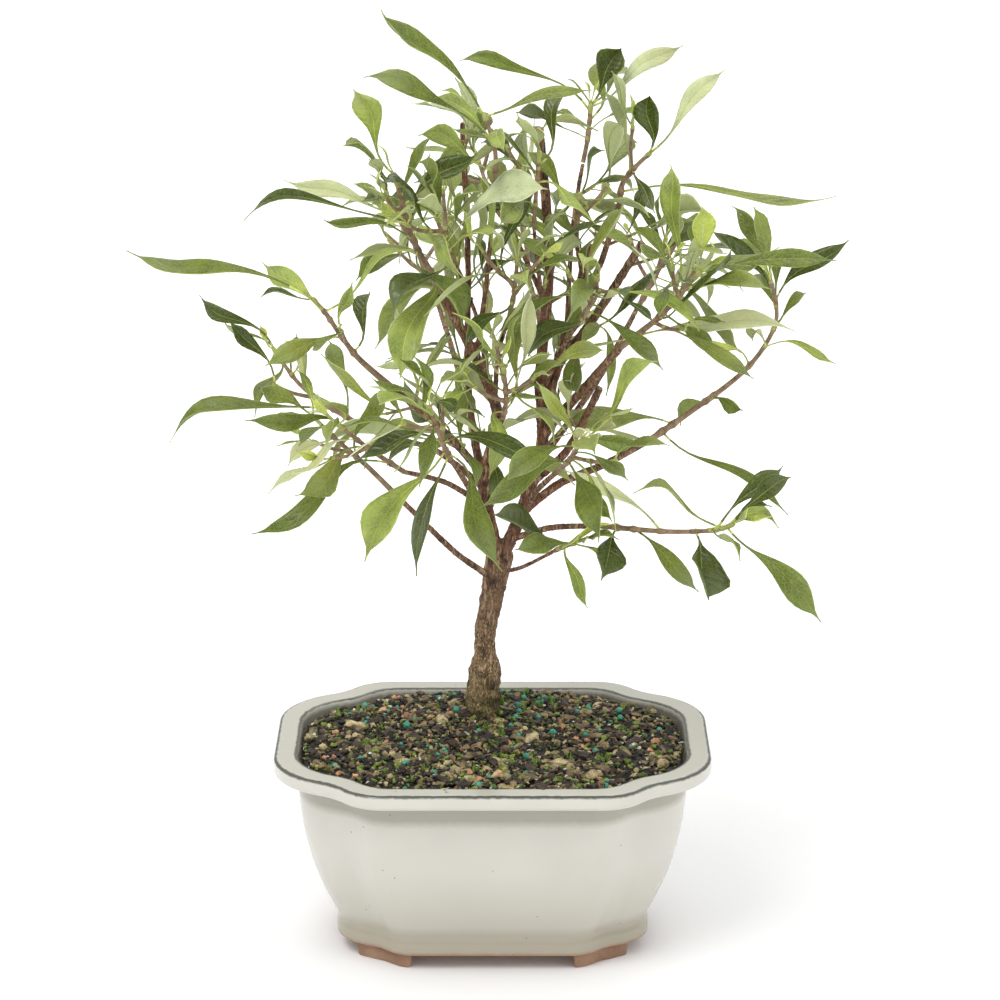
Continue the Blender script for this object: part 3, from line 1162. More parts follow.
@dataclass(frozen=True)
class BladeForm:
    """How one leaf departs from its plain line.

    The two powers say how slowly it widens from its stalk and how finely it narrows to its
    tip. Its halves fold up from the midrib, arch between midrib and margin, and ripple at the
    margin. It twists along its length, and its line rises and sways, and its drip tip bends,
    in shares of its length. The last value is a share of its width.
    """

    inner_power: float
    tip_power: float
    fold: float
    arch: float
    ripple: float
    waves: float
    phase: float
    twist: float
    rise: float
    sway: float
    hook: float
    slim: float

    @classmethod
    def drawn(cls, dice: random.Random) -> "BladeForm":
        """The form of one leaf, drawn by seed."""
        return cls(*(dice.uniform(low, high) for low, high in BLADE_SPANS))


@dataclass(frozen=True)
class Blade:
    """One leaf's blade and stalk, point by point."""

    leaf: Leaf
    form: BladeForm

    def half_width(self, share: float) -> float:
        """Half the width of the leaf at a share of its length."""
        form = self.form
        inner = max((share - STALK) / (BODY_END - STALK), 0.0)
        whole = form.inner_power + form.tip_power
        peak = ((form.inner_power / whole) ** form.inner_power
                * (form.tip_power / whole) ** form.tip_power)
        wide = inner ** form.inner_power * max(1.0 - inner, 0.0) ** form.tip_power / peak
        body = WIDTH_SHARE * wide
        tip = min(TIP_HALF, WIDTH_SHARE) * (1.0 - share) / (1.0 - TIP_FROM) if share > TIP_FROM else 0.0
        return max(self.leaf.width * form.slim * max(body, tip), STALK_HALF * (1.0 - STALK_TAPER * share))

    def spot(self, share: float, column: int, below: bool) -> Vector:
        """The point of a column at a share of the length, above or below, in metres."""
        form = self.form
        length = self.leaf.length()
        half = self.half_width(share)
        rib = min(RIB_HALF * (1.0 - RIB_TAPER * share), half)
        sign, reach = COLUMNS[column]
        side, lift = self.leaf.frame(share)
        swing = math.sin(math.tau * share)
        bend = form.hook * length * (max(share - TIP_FROM, 0.0) / (1.0 - TIP_FROM)) ** 2
        middle = (self.leaf.point(share) + lift * (form.rise * length * swing * share + bend)
                  + side * (form.sway * length * swing * (1.2 - share) + bend))
        roll = form.twist * (share - TWIST_FROM)
        side, lift = (side * math.cos(roll) + lift * math.sin(roll),
                      lift * math.cos(roll) - side * math.sin(roll))
        offset = rib + (half - rib) * reach
        height = offset * form.fold + form.arch * half * (1.0 - (2.0 * reach - 1.0) ** 2)
        height += (math.sin(form.waves * math.tau * share + form.phase + sign * 1.3)
                   * half * form.ripple * reach ** 2)
        height -= BLADE_THICK if below else 0.0
        return (middle + side * sign * offset + lift * height) * MM

    def pour_into(self, whole: bmesh.types.BMesh, tint: int, under: int, rib: int, stalk: int) -> None:
        """Adds the leaf to a bmesh: a grid shaped to the blade and given its thickness.

        Args:
            whole: the bmesh of the piece.
            tint: the slot of its upper side.
            under: the slot of its underside.
            rib: the slot of its midrib.
            stalk: the slot of its stalk.
        """
        length = self.leaf.length()
        stations = next(count for most, count in STATIONS if length < most)
        strips = len(COLUMNS) - 1
        shape = bmesh.new()
        map_layer = shape.loops.layers.uv.new(BLADE_MAP)
        bmesh.ops.create_grid(shape, x_segments=stations, y_segments=strips, size=0.5)
        bmesh.ops.triangulate(shape, faces=shape.faces)
        sheet = [*shape.verts, *shape.edges, *shape.faces]
        copied = bmesh.ops.extrude_face_region(shape, geom=sheet, use_keep_orig=True)["geom"]
        lower = [item for item in copied if isinstance(item, bmesh.types.BMVert)]
        bmesh.ops.translate(shape, verts=lower, vec=-UP)
        bmesh.ops.recalc_face_normals(shape, faces=shape.faces)
        places = {vert: (1.0 - (0.5 - vert.co.x) ** CROWDING, round((0.5 - vert.co.y) * strips),
                         vert.co.z < -0.5) for vert in shape.verts}
        for face in shape.faces:
            share = min(places[vert][0] for vert in face.verts)
            on_rib = min(places[vert][1] for vert in face.verts) == strips // 2
            side = under if all(places[vert][2] for vert in face.verts) else tint
            face.material_index = stalk if share < STALK else rib if on_rib else side
            for loop in face.loops:
                spot_share, column, _ = places[loop.vert]
                sign, reach = COLUMNS[column]
                loop[map_layer].uv = (spot_share, 0.5 + 0.5 * sign * reach)
        for vert, place in places.items():
            vert.co = self.spot(*place)
        pour(shape, whole)


@dataclass
class Foliage:
    """The leaves of one part of the crown, joined into one piece."""

    name: str
    masses: tuple
    seed: int
    shares: tuple = TINT_SHARES

    def build(self, crown: Crown, finishes: dict[Tint, bpy.types.Material],
              stalk: bpy.types.Material) -> bpy.types.Object:
        """Makes the leaves.

        Args:
            crown: the grown crown.
            finishes: the leaf materials by tint.
            stalk: the material of leaf stalks.

        Returns:
            The piece.
        """
        dice = random.Random(self.seed)
        order = list(finishes)
        under = order.index(Tint.UNDER)
        whole = self.new_handful()
        for mass in self.masses:
            handful = self.new_handful()
            for leaf in crown.leaves.get(mass, []):
                tint = leaf.tint or self.tint_of(dice)
                below = order.index(leaf.tint) if leaf.tint else under
                Blade(leaf, BladeForm.drawn(dice)).pour_into(
                    handful, order.index(tint), below, order.index(RIB_TINTS[tint]), len(order))
            for leaf in crown.young.get(mass, []):
                Blade(leaf, BladeForm.drawn(dice)).pour_into(
                    handful, order.index(Tint.LIME), under, under, len(order))
            pour(handful, whole)
        return add_piece(self.name, whole, [*(finishes[tint] for tint in order), stalk])

    @staticmethod
    def new_handful() -> bmesh.types.BMesh:
        """An empty bmesh with the map that the leaves' surfaces follow."""
        handful = bmesh.new()
        handful.loops.layers.uv.new(BLADE_MAP)
        return handful

    def tint_of(self, dice: random.Random) -> Tint:
        """Deals out the tint of one leaf."""
        draw = dice.random()
        return next(tint for tint, most in self.shares if draw < most)


def curve_mesh(name: str, strands: list, sides: int) -> bpy.types.Mesh:
    """A mesh of closed tubes along lines of points.

    Args:
        name: the mesh's name.
        strands: for each tube its points and its radii, in millimetres.
        sides: the bevel resolution of the tubes.

    Returns:
        The mesh.
    """
    curve = bpy.data.curves.new(name, "CURVE")
    curve.dimensions = "3D"
    curve.bevel_depth = MM
    curve.bevel_resolution = sides
    curve.use_fill_caps = True
    for line, radii in strands:
        spline = curve.splines.new("POLY")
        spline.points.add(len(line) - 1)
        for point, spot, radius in zip(spline.points, line, radii):
            point.co = (*(spot * MM), 1.0)
            point.radius = radius
    guide = bpy.data.objects.new(name + "_line", curve)
    bpy.context.scene.collection.objects.link(guide)
    bpy.context.view_layer.update()
    graph = bpy.context.evaluated_depsgraph_get()
    mesh = bpy.data.meshes.new_from_object(guide.evaluated_get(graph))
    bpy.data.objects.remove(guide)
    bpy.data.curves.remove(curve)
    return mesh


@dataclass
class Twigs:
    """The young twigs of the crown, ringed and green where leaves leave them."""

    name: str = "twigs"
    step: float = 1.4
    green_from: float = 0.88
    node_reach: float = 1.0

    def build(self, crown: Crown, tan: bpy.types.Material, green: bpy.types.Material) -> bpy.types.Object:
        """Makes the twigs, with tan bark at their foot and green bark near their tip and nodes."""
        shape = bmesh.new()
        for owner, twigs in crown.twigs.items():
            handful = bmesh.new()
            nodes = [leaf.base for leaf in crown.leaves.get(owner, [])]
            for line, radii in twigs:
                self.add_twig(handful, line, radii, nodes)
            pour(handful, shape)
        return add_piece(self.name, shape, [tan, green])

    def add_twig(self, shape: bmesh.types.BMesh, line: list[Vector], radii: list[float],
                 nodes: list[Vector]) -> None:
        """Adds one twig."""
        fine = smooth_route(line, 5)
        length = line_length(fine)
        count = max(int(length / self.step), 6)
        spots = []
        sizes = []
        for index in range(count + 1):
            share = index / count
            spot = spot_on(fine, share)[0]
            near = min(((spot - node).length for node in nodes), default=length)
            spots.append(spot)
            sizes.append((radii[0] + (radii[-1] - radii[0]) * share) * (1.0 + 0.5 * math.exp(-near ** 2)))
        mesh = curve_mesh("twig", [(spots, sizes)], 2)
        first = len(shape.faces)
        shape.from_mesh(mesh)
        shape.faces.ensure_lookup_table()
        for face in shape.faces[first:]:
            middle = face.calc_center_median() / MM
            near = min(((middle - node).length for node in nodes), default=length)
            young = (middle - fine[0]).length > self.green_from * length
            face.material_index = 1 if young or near < self.node_reach else 0
        bpy.data.meshes.remove(mesh)


@dataclass
class Wood:
    """Trunk, stems and boughs in one skin, with the relief of the bark."""

    name: str = "bark_wood"
    voxel: float = 0.55
    collar: float = 0.35
    cuts: tuple = ("stem_centre", "stem_left_tall", "stem_heel", "stem_right_cut", "stem_dark_cut")

    def build(self, limbs: dict, bark: bpy.types.Material, cut_wood: bpy.types.Material) -> bpy.types.Object:
        """Makes the skin.

        Args:
            limbs: for each limb its line and its radii.
            bark: the bark material.
            cut_wood: the material of the pruning cuts.

        Returns:
            The piece.
        """
        strands = [self.fine_limb(limb, line, radii) for limb, (line, radii) in limbs.items()]
        mesh = curve_mesh(self.name, strands, 5)
        rough = bpy.data.objects.new("wood_rough", mesh)
        bpy.context.scene.collection.objects.link(rough)
        remesh = rough.modifiers.new("skin", "REMESH")
        remesh.mode = "VOXEL"
        remesh.voxel_size = self.voxel * MM
        bpy.context.view_layer.update()
        graph = bpy.context.evaluated_depsgraph_get()
        skin = bpy.data.meshes.new_from_object(rough.evaluated_get(graph))
        bpy.data.objects.remove(rough)
        shape = bmesh.new()
        shape.from_mesh(skin)
        bpy.data.meshes.remove(skin)
        for _ in range(2):
            bmesh.ops.smooth_vert(shape, verts=shape.verts, factor=0.5,
                                  use_axis_x=True, use_axis_y=True, use_axis_z=True)
        self.carve(shape, strands)
        self.mark_cuts(shape, limbs)
        piece = add_piece(self.name, shape, [bark, cut_wood])
        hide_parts(*limbs)
        return piece

    def fine_limb(self, name: str, line: list[Vector], radii: list[float]) -> tuple[list, list]:
        """A limb with more points, and a collar at its foot."""
        fine = smooth_route(line, 4)
        count = max(int(line_length(fine) / 2.0), 4)
        spots = []
        sizes = []
        for index in range(count + 1):
            share = index / count
            place = share * (len(radii) - 1)
            low = min(int(place), len(radii) - 2)
            radius = radii[low] + (radii[low + 1] - radii[low]) * (place - low)
            if name != "trunk":
                radius *= 1.0 + self.collar * math.exp(-share * count * 2.0 / (radii[0] * 1.6))
            spots.append(spot_on(fine, share)[0])
            sizes.append(radius)
        return spots, sizes

    @staticmethod
    def carve(shape: bmesh.types.BMesh, strands: list) -> None:
        """Moves the skin in and out: ridges along the limb, rings, knots and the root flare."""
        spots = [(spot, radius) for line, radii in strands for spot, radius in zip(line, radii)]
        finder = KDTree(len(spots))
        for index, (spot, _) in enumerate(spots):
            finder.insert(spot, index)
        finder.balance()
        shape.normal_update()
        foot = Vector(TRUNK.route[0])
        for vert in shape.verts:
            place = vert.co / MM
            _, index, _ = finder.find(place)
            radius = min(spots[index][1], 4.5)
            ridged = noise.noise(Vector((place.x * 0.8, place.y * 0.8, place.z * 0.13)))
            cracks = abs(noise.noise(Vector((place.x * 1.5, place.y * 1.5, place.z * 0.3 + 40.0))))
            rough = noise.noise(place * 1.2)
            rings = noise.noise(Vector((place.z * 0.35, index * 0.21, 3.0)))
            depth = radius * (0.11 * ridged + 0.05 * rough + 0.05 * rings - 0.1 * max(0.14 - cracks, 0.0) / 0.14)
            low = math.exp(-max(place.z - SOIL_TOP, 0.0) / FLARE_HEIGHT)
            turn = math.atan2(place.y - foot.y, place.x - foot.x)
            depth += low * (noise.noise(place * 0.35) * 0.9 + FLARE_SWELL * math.cos(3.0 * turn))
            ball = min(max((BALL_TOP - place.z) / BALL_EDGE, 0.0), 1.0)
            depth += BALL_SWELL * ball * (1.0 - low) * (1.0 + noise.noise(place * 0.3))
            vert.co += vert.normal * depth * MM

    def mark_cuts(self, shape: bmesh.types.BMesh, limbs: dict) -> None:
        """Gives the flat ends of the pruned stems the colour of cut wood."""
        for name in self.cuts:
            line, radii = limbs[name]
            end = line[-1]
            way = (line[-1] - line[-2]).normalized()
            for face in shape.faces:
                middle = face.calc_center_median() / MM
                if (middle - end).length < radii[-1] * 1.1 and (middle - end).dot(way) > -0.25:
                    face.material_index = 1


# The pot and its soil
PROFILE = "profile"
POT_HEIGHT = 80.0
RIM_LENGTH = 165.0
RIM_WIDTH = 123.0
CORNER_TURNS = ((18.0, 52.0), (26.0, -28.0), (30.0, 66.0))   # arc radius, degrees turned
FOOT_HEIGHT = 6.0
PLINTH_TOP = 12.2
PLINTH_PROUD = 1.6
LIP_HEIGHT = 6.0
LIP_PROUD = 9.0
RIM_BAND = 8.0
WALL_IN = 20.5
WALL_SWEEP = 15.4
WALL_POWER = 2.2
WALL_THICK = 6.5
SOIL_EDGE = 77.6
SOIL_TOP = 79.0
SOIL_DROP = 10.4
BED_HEIGHT = 62.0
FLARE_SWELL = 0.6
FLARE_HEIGHT = 9.0
BALL_TOP = SOIL_TOP + 24.0    # the old, swollen foot of the trunk
BALL_EDGE = 5.0
BALL_SWELL = 1.5


def ring_edges(ring: list) -> list:
    """The edges between neighbours in a closed ring of points."""
    inside = set(ring)
    return list({edge for vert in ring for edge in vert.link_edges if edge.other_vert(vert) in inside})


@dataclass
class Pot:
    """The glazed pot: an outline with swept corners, carried up a profile."""

    name: str = "glazed_pot"
    arc_step: float = 4.0
    wall_rings: int = 24

    def outline(self) -> list[Vector]:
        """The rim's outline: a quarter worked out from its arcs, then mirrored."""
        heading = 0.0
        run = 0.0
        for radius, turn in CORNER_TURNS:
            after = heading + turn
            sign = 1 if turn > 0 else -1
            run += radius * sign * (math.sin(math.radians(after)) - math.sin(math.radians(heading)))
            heading = after
        spot = Vector((RIM_LENGTH / 2 - run, -RIM_WIDTH / 2))
        points = [spot.copy()]
        angle = 0.0
        for radius, turn in CORNER_TURNS:
            facets = math.ceil(abs(turn) / self.arc_step)
            step = math.radians(turn) / facets
            chord = 2.0 * radius * math.sin(abs(step) / 2.0)
            for _ in range(facets):
                middle = angle + step / 2.0
                spot = spot + Vector((math.cos(middle), math.sin(middle))) * chord
                angle += step
                points.append(spot.copy())
        right = points + [Vector((point.x, -point.y)) for point in reversed(points)]
        return right + [Vector((-point.x, point.y)) for point in reversed(right)]

    @staticmethod
    def wall_half(height: float) -> float:
        """Half the length of the outer wall at a height."""
        share = (height - PLINTH_TOP) / (POT_HEIGHT - LIP_HEIGHT - PLINTH_TOP)
        share = min(max(share, 0.0), 1.0)
        return RIM_LENGTH / 2 - LIP_PROUD - WALL_SWEEP * (1.0 - share) ** WALL_POWER

    @staticmethod
    def bend(height: float, half: float, radius: float, start: float, narrow: float) -> list[tuple]:
        """A quarter turn of the profile round a centre, from an angle in degrees."""
        angles = [math.radians(start + 90.0 * step / 5) for step in range(6)]
        return [(height + radius * math.sin(angle), half + radius * math.cos(angle), narrow)
                for angle in angles]

    def profile(self) -> tuple[list[tuple], dict[str, int]]:
        """The rings of the profile, and the numbers of those where the glaze changes.

        Returns:
            For each ring its height, half length and how much narrower it is, and the marks.
        """
        top = RIM_LENGTH / 2
        narrow = (RIM_LENGTH - RIM_WIDTH) / 2
        plinth = self.wall_half(PLINTH_TOP) + PLINTH_PROUD
        lip_foot = POT_HEIGHT - LIP_HEIGHT
        marks = {"foot": 0}
        rings = self.bend(FOOT_HEIGHT + 1.0, plinth - 1.0, 1.0, -90.0, WALL_IN)
        rings += [(PLINTH_TOP - 1.7, plinth, WALL_IN), (PLINTH_TOP - 0.9, plinth - 0.2, WALL_IN)]
        marks["groove"] = len(rings)
        rings += [(PLINTH_TOP, plinth - 0.55, WALL_IN), (PLINTH_TOP + 0.7, plinth - 0.75, WALL_IN),
                  (PLINTH_TOP + 1.5, plinth - 0.65, WALL_IN)]
        low = PLINTH_TOP + 2.6
        for step in range(self.wall_rings + 1):
            if step == self.wall_rings // 2:
                marks["belly"] = len(rings)
            height = low + (lip_foot - 1.4 - low) * step / self.wall_rings
            rings.append((height, self.wall_half(height), WALL_IN))
        marks["tuck"] = len(rings)
        rings += [(lip_foot - 0.5, top - LIP_PROUD + 0.3, WALL_IN),
                  (lip_foot - 0.1, top - LIP_PROUD + 1.4, (WALL_IN + narrow) / 2),
                  (lip_foot, top - 3.2, narrow)]
        rings += self.bend(lip_foot + 1.6, top - 1.6, 1.6, -90.0, narrow)
        rings += self.bend(POT_HEIGHT - 1.3, top - 1.3, 1.3, 0.0, narrow)
        marks["outer"] = len(rings) - 1
        rings += [(POT_HEIGHT, top - 2.0, narrow), (POT_HEIGHT, top - 4.5, narrow),
                  (POT_HEIGHT - 0.1, top - RIM_BAND + 0.4, narrow)]
        marks["inner"] = len(rings) + 1
        rings += self.bend(POT_HEIGHT - 1.1, top - RIM_BAND, 1.0, 90.0, narrow)
        rings += [(POT_HEIGHT - 4.6, top - SOIL_DROP, narrow),
                  (BED_HEIGHT - 2.0, self.wall_half(BED_HEIGHT) - WALL_THICK, WALL_IN)]
        return rings, marks

    def build(self, finish: GlazeFinish, mottle: bpy.types.ShaderNodeTree) -> bpy.types.Object:
        """Makes the pot's skin from the outline, ring by ring, and glazes it.

        Args:
            finish: the glaze.
            mottle: the shared group of patches and grain.

        Returns:
            The piece.
        """
        outline = self.outline()
        rings, marks = self.profile()
        shape = bmesh.new()
        run_layer = shape.verts.layers.float.new(PROFILE)
        ring = bmesh.ops.create_circle(shape, cap_ends=False, segments=len(outline), radius=1.0)["verts"]
        self.place(ring, outline, *rings[0])
        first = list(ring)
        runs = [0.0]
        for before, after in zip(rings, rings[1:]):
            runs.append(runs[-1] + math.hypot(after[0] - before[0], after[1] - before[1]))
            ring = self.next_ring(shape, ring)
            self.place(ring, outline, *after)
            for vert in ring:
                vert[run_layer] = runs[-1]
        shape.faces.new(ring)
        shape.faces.new(first)
        bmesh.ops.recalc_face_normals(shape, faces=shape.faces)
        bmesh.ops.triangulate(shape, faces=[face for face in shape.faces if len(face.verts) > 4])
        glaze = finish.build(mottle, {name: runs[number] for name, number in marks.items()})
        piece = add_piece(self.name, shape, [glaze])
        piece.data.set_sharp_from_angle(angle=math.radians(50.0))
        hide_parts("pot")
        return piece

    @staticmethod
    def next_ring(shape: bmesh.types.BMesh, ring: list) -> list:
        """Draws a new ring of points out of a ring, in the same order."""
        grown = bmesh.ops.extrude_edge_only(shape, edges=ring_edges(ring))["geom"]
        partner = {}
        for vert in (item for item in grown if isinstance(item, bmesh.types.BMVert)):
            for edge in vert.link_edges:
                other = edge.other_vert(vert)
                if other in ring and (other.co - vert.co).length < 1e-7:
                    partner[other] = vert
        return [partner[vert] for vert in ring]

    @staticmethod
    def place(ring: list, outline: list, height: float, half: float, narrow: float) -> None:
        """Puts a ring of points on the outline, scaled to its size there."""
        for vert, point in zip(ring, outline):
            vert.co = Vector((point.x * half * 2 / RIM_LENGTH, point.y * (half - narrow) * 2 / RIM_WIDTH,
                              height)) * MM


@dataclass
class Feet:
    """The four bare clay feet, with worn edges and a hollowed inner end."""

    name: str = "clay_feet"
    nodes: tuple = ("foot_front_left", "foot_front_right", "foot_back_left", "foot_back_right")
    worn: float = 1.4

    def build(self, clay: bpy.types.Material) -> bpy.types.Object:
        """Makes the feet from merged copies of the model's feet, whose edges are rounded."""
        whole = bmesh.new()
        for node in self.nodes:
            shape = bmesh.new()
            shape.from_mesh(frame["nodes"][node].data)
            bmesh.ops.remove_doubles(shape, verts=shape.verts, dist=1e-6)
            bmesh.ops.dissolve_limit(shape, angle_limit=math.radians(1.0), verts=shape.verts,
                                     edges=shape.edges)
            bmesh.ops.bevel(shape, geom=shape.edges[:], offset=self.worn * MM, segments=3, profile=0.5,
                            affect="EDGES", material=-1, clamp_overlap=True)
            pour(shape, whole)
        piece = add_piece(self.name, whole, [clay])
        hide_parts(*self.nodes)
        return piece


class Grain(Enum):
    """The kinds of grain in the soil."""

    LOAM = "loam"
    BARK = "bark"
    HUSK = "husk"
    GRIT = "grit"
    CHUNK = "chunk"
    SAND = "sand"
    BEAD = "bead"
    PERLITE = "perlite"
    MOSS = "moss"
    SPLINTER = "splinter"


@dataclass(frozen=True)
class GrainKind:
    """How many grains of a kind there are, how large, and how they are shaped."""

    count: int
    size: tuple
    stretch: float
    fine: int
    rough: float
    colours: tuple


GRAINS = {
    Grain.LOAM: GrainKind(6500, (0.6, 2.0), 0.6, 1, 0.36, ((0.005, 0.004, 0.003), (0.045, 0.03, 0.018))),
    Grain.BARK: GrainKind(360, (1.8, 4.8), 1.0, 2, 0.36, ((0.01, 0.007, 0.005), (0.085, 0.05, 0.03))),
    Grain.HUSK: GrainKind(560, (1.1, 3.8), 2.2, 1, 0.36, ((0.05, 0.032, 0.014), (0.38, 0.27, 0.13))),
    Grain.GRIT: GrainKind(640, (0.8, 2.9), 0.7, 1, 0.36, ((0.18, 0.14, 0.05), (0.66, 0.52, 0.26))),
    Grain.CHUNK: GrainKind(76, (2.8, 4.8), 0.6, 2, 0.34, ((0.26, 0.2, 0.07), (0.78, 0.64, 0.36))),
    Grain.SAND: GrainKind(70, (1.6, 3.8), 0.35, 2, 0.25, ((0.4, 0.14, 0.05), (0.88, 0.45, 0.24))),
    Grain.BEAD: GrainKind(92, (2.4, 3.2), 0.04, 2, 0.03, ((0.02, 0.24, 0.15), (0.09, 0.52, 0.36))),
    Grain.PERLITE: GrainKind(300, (0.5, 1.8), 1.6, 1, 0.34, ((0.5, 0.48, 0.38), (0.95, 0.93, 0.85))),
    Grain.MOSS: GrainKind(1700, (0.7, 2.6), 0.8, 1, 0.36, ((0.03, 0.05, 0.006), (0.3, 0.42, 0.045))),
    Grain.SPLINTER: GrainKind(130, (0.8, 1.7), 5.0, 1, 0.2, ((0.16, 0.09, 0.05), (0.7, 0.52, 0.3))),
}


@dataclass
class Soil:
    """The mounded soil, and the grains, roots and moss that lie on it."""

    name: str = "soil_bed"
    handful: int = 60
    insets: tuple = (0.6, 2.0, 5.0, 9.0, 14.0, 20.0, 27.0, 34.0)
    roots: int = 42
    sprigs: int = 30

    def build(self, pot: Pot, finishes: dict[Grain, bpy.types.Material], root: bpy.types.Material,
              moss: bpy.types.Material) -> None:
        """Makes the bed, each kind of grain, the fine roots and the sprigs of moss.

        Args:
            pot: the pot that holds the soil.
            finishes: the material of each kind of grain.
            root: the material of the fine roots.
            moss: the material of the sprigs.
        """
        outline = pot.outline()
        half = RIM_LENGTH / 2 - SOIL_DROP - 0.6
        narrow = (RIM_LENGTH - RIM_WIDTH) / 2
        shape = bmesh.new()
        ring = bmesh.ops.create_circle(shape, cap_ends=False, segments=len(outline), radius=1.0)["verts"]
        rings = [(BED_HEIGHT, half - 3.0), (SOIL_EDGE - 2.0, half)]
        rings += [(self.level(inset) - 0.6, half - inset) for inset in self.insets]
        pot.place(ring, outline, *rings[0], narrow)
        first = list(ring)
        for height, size in rings[1:]:
            ring = pot.next_ring(shape, ring)
            pot.place(ring, outline, height, size, narrow)
        shape.faces.new(ring)
        shape.faces.new(first)
        bmesh.ops.recalc_face_normals(shape, faces=shape.faces)
        bmesh.ops.triangulate(shape, faces=[face for face in shape.faces if len(face.verts) > 4])
        bed = add_piece(self.name, shape, [finishes[Grain.LOAM]])
        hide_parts("soil")
        reach = sorted((math.atan2(point.y * (half - narrow) / RIM_WIDTH, point.x * half / RIM_LENGTH),
                        math.hypot(point.x * half / RIM_LENGTH, point.y * (half - narrow) / RIM_WIDTH) * 2.0)
                       for point in outline)
        for number, kind in enumerate(GRAINS):
            self.scatter(kind, reach, 60 + number, finishes[kind])
        self.add_roots(reach, root)
        self.add_sprigs(reach, moss)

    @staticmethod
    def level(inset: float) -> float:
        """Height of the soil at a distance in from its edge."""
        return SOIL_EDGE - 0.4 + (SOIL_TOP - SOIL_EDGE + 0.6) * (1.0 - math.exp(-inset / 7.0))

    def spot(self, reach: list, dice: random.Random, margin: float) -> Vector:
        """A place on the soil's uneven top, at least a margin from its edge."""
        angle = dice.uniform(-math.pi, math.pi)
        edge = min(reach, key=lambda item: abs(item[0] - angle))[1]
        out = math.sqrt(dice.random()) * (edge - margin)
        place = Vector((math.cos(angle) * out, math.sin(angle) * out, 0.0))
        place.z = self.level(edge - out) + 0.7 * noise.noise(place * 0.11)
        return place

    def scatter(self, kind: Grain, reach: list, seed: int, finish: bpy.types.Material) -> None:
        """Scatters the grains of one kind over the bed."""
        dice = random.Random(seed)
        spec = GRAINS[kind]
        whole = bmesh.new()
        handful = bmesh.new()
        for number in range(spec.count):
            if number % self.handful == self.handful - 1:
                pour(handful, whole)
                handful = bmesh.new()
            size = dice.uniform(*spec.size) * (0.6 + 0.4 * dice.random())
            spot = self.spot(reach, dice, size * 0.5 + 0.3)
            spot.z += size * dice.uniform(-0.3, 0.25)
            self.add_grain(handful, spot, size, spec, dice)
        pour(handful, whole)
        piece = add_piece("soil_" + kind.value, whole, [finish], smooth=kind is Grain.BEAD)

    @staticmethod
    def add_grain(handful: bmesh.types.BMesh, spot: Vector, size: float, spec: GrainKind,
                  dice: random.Random) -> None:
        """Adds one grain: a ball pushed out of shape and turned."""
        made = bmesh.ops.create_icosphere(handful, subdivisions=spec.fine, radius=size * 0.5 * MM)["verts"]
        seat = Vector((dice.uniform(-9.0, 9.0), dice.uniform(-9.0, 9.0), dice.uniform(-9.0, 9.0)))
        for vert in made:
            way = vert.co.normalized()
            vert.co *= 1.0 + spec.rough * (1.6 * noise.noise(way * 1.7 + seat) + dice.uniform(-0.5, 0.5))
        turn = Matrix.Rotation(dice.uniform(0.0, math.tau), 4, "Z") @ Matrix.Rotation(
            dice.uniform(-0.6, 0.6), 4, "X") @ Matrix.Rotation(dice.uniform(-0.35, 0.35), 4, "Y")
        stretch = Matrix.Diagonal((1.0 + spec.stretch * dice.random(), 1.0,
                                   1.0 - 0.4 * min(spec.stretch, 1.0) * dice.random(), 1.0))
        bmesh.ops.transform(handful, verts=made, matrix=Matrix.Translation(spot * MM) @ turn @ stretch)

    def add_roots(self, reach: list, finish: bpy.types.Material) -> None:
        """Lays fine bent roots on the soil."""
        dice = random.Random(81)
        strands = []
        for _ in range(self.roots):
            spot = self.spot(reach, dice, 10.0) + UP * 0.8
            heading = dice.uniform(0.0, math.tau)
            line = [spot]
            for _ in range(dice.randint(3, 6)):
                heading += dice.uniform(-0.9, 0.9)
                step = Vector((math.cos(heading), math.sin(heading), dice.uniform(-0.35, 0.3)))
                line.append(line[-1] + step * dice.uniform(1.2, 2.8))
            line[0].z -= 1.2
            line[-1].z -= 1.2
            fine = smooth_route(line, 3)
            strands.append((fine, [dice.uniform(0.11, 0.2)] * len(fine)))
        shape = bmesh.new()
        mesh = curve_mesh("soil_roots", strands, 1)
        shape.from_mesh(mesh)
        bpy.data.meshes.remove(mesh)
        add_piece("soil_roots", shape, [finish])

    def add_sprigs(self, reach: list, finish: bpy.types.Material) -> None:
        """Plants sprigs of moss: tufts of small upright blades."""
        dice = random.Random(82)
        shape = bmesh.new()
        for _ in range(self.sprigs):
            middle = self.spot(reach, dice, 5.0)
            for _ in range(dice.randint(7, 15)):
                root = middle + Vector((dice.gauss(0.0, 1.0), dice.gauss(0.0, 1.0), -0.3))
                height = dice.uniform(1.2, 3.2)
                made = bmesh.ops.create_cone(shape, cap_ends=True, segments=4, radius1=0.36 * MM,
                                             radius2=0.08 * MM, depth=height * MM)["verts"]
                lean = Matrix.Rotation(dice.uniform(0.0, math.tau), 4, "Z") @ Matrix.Rotation(
                    dice.uniform(0.0, 0.7), 4, "X")
                stand = Matrix.Translation((0.0, 0.0, height * 0.5 * MM))
                bmesh.ops.transform(shape, verts=made, matrix=Matrix.Translation(root * MM) @ lean @ stand)
        add_piece("soil_sprigs", shape, [finish], smooth=False)


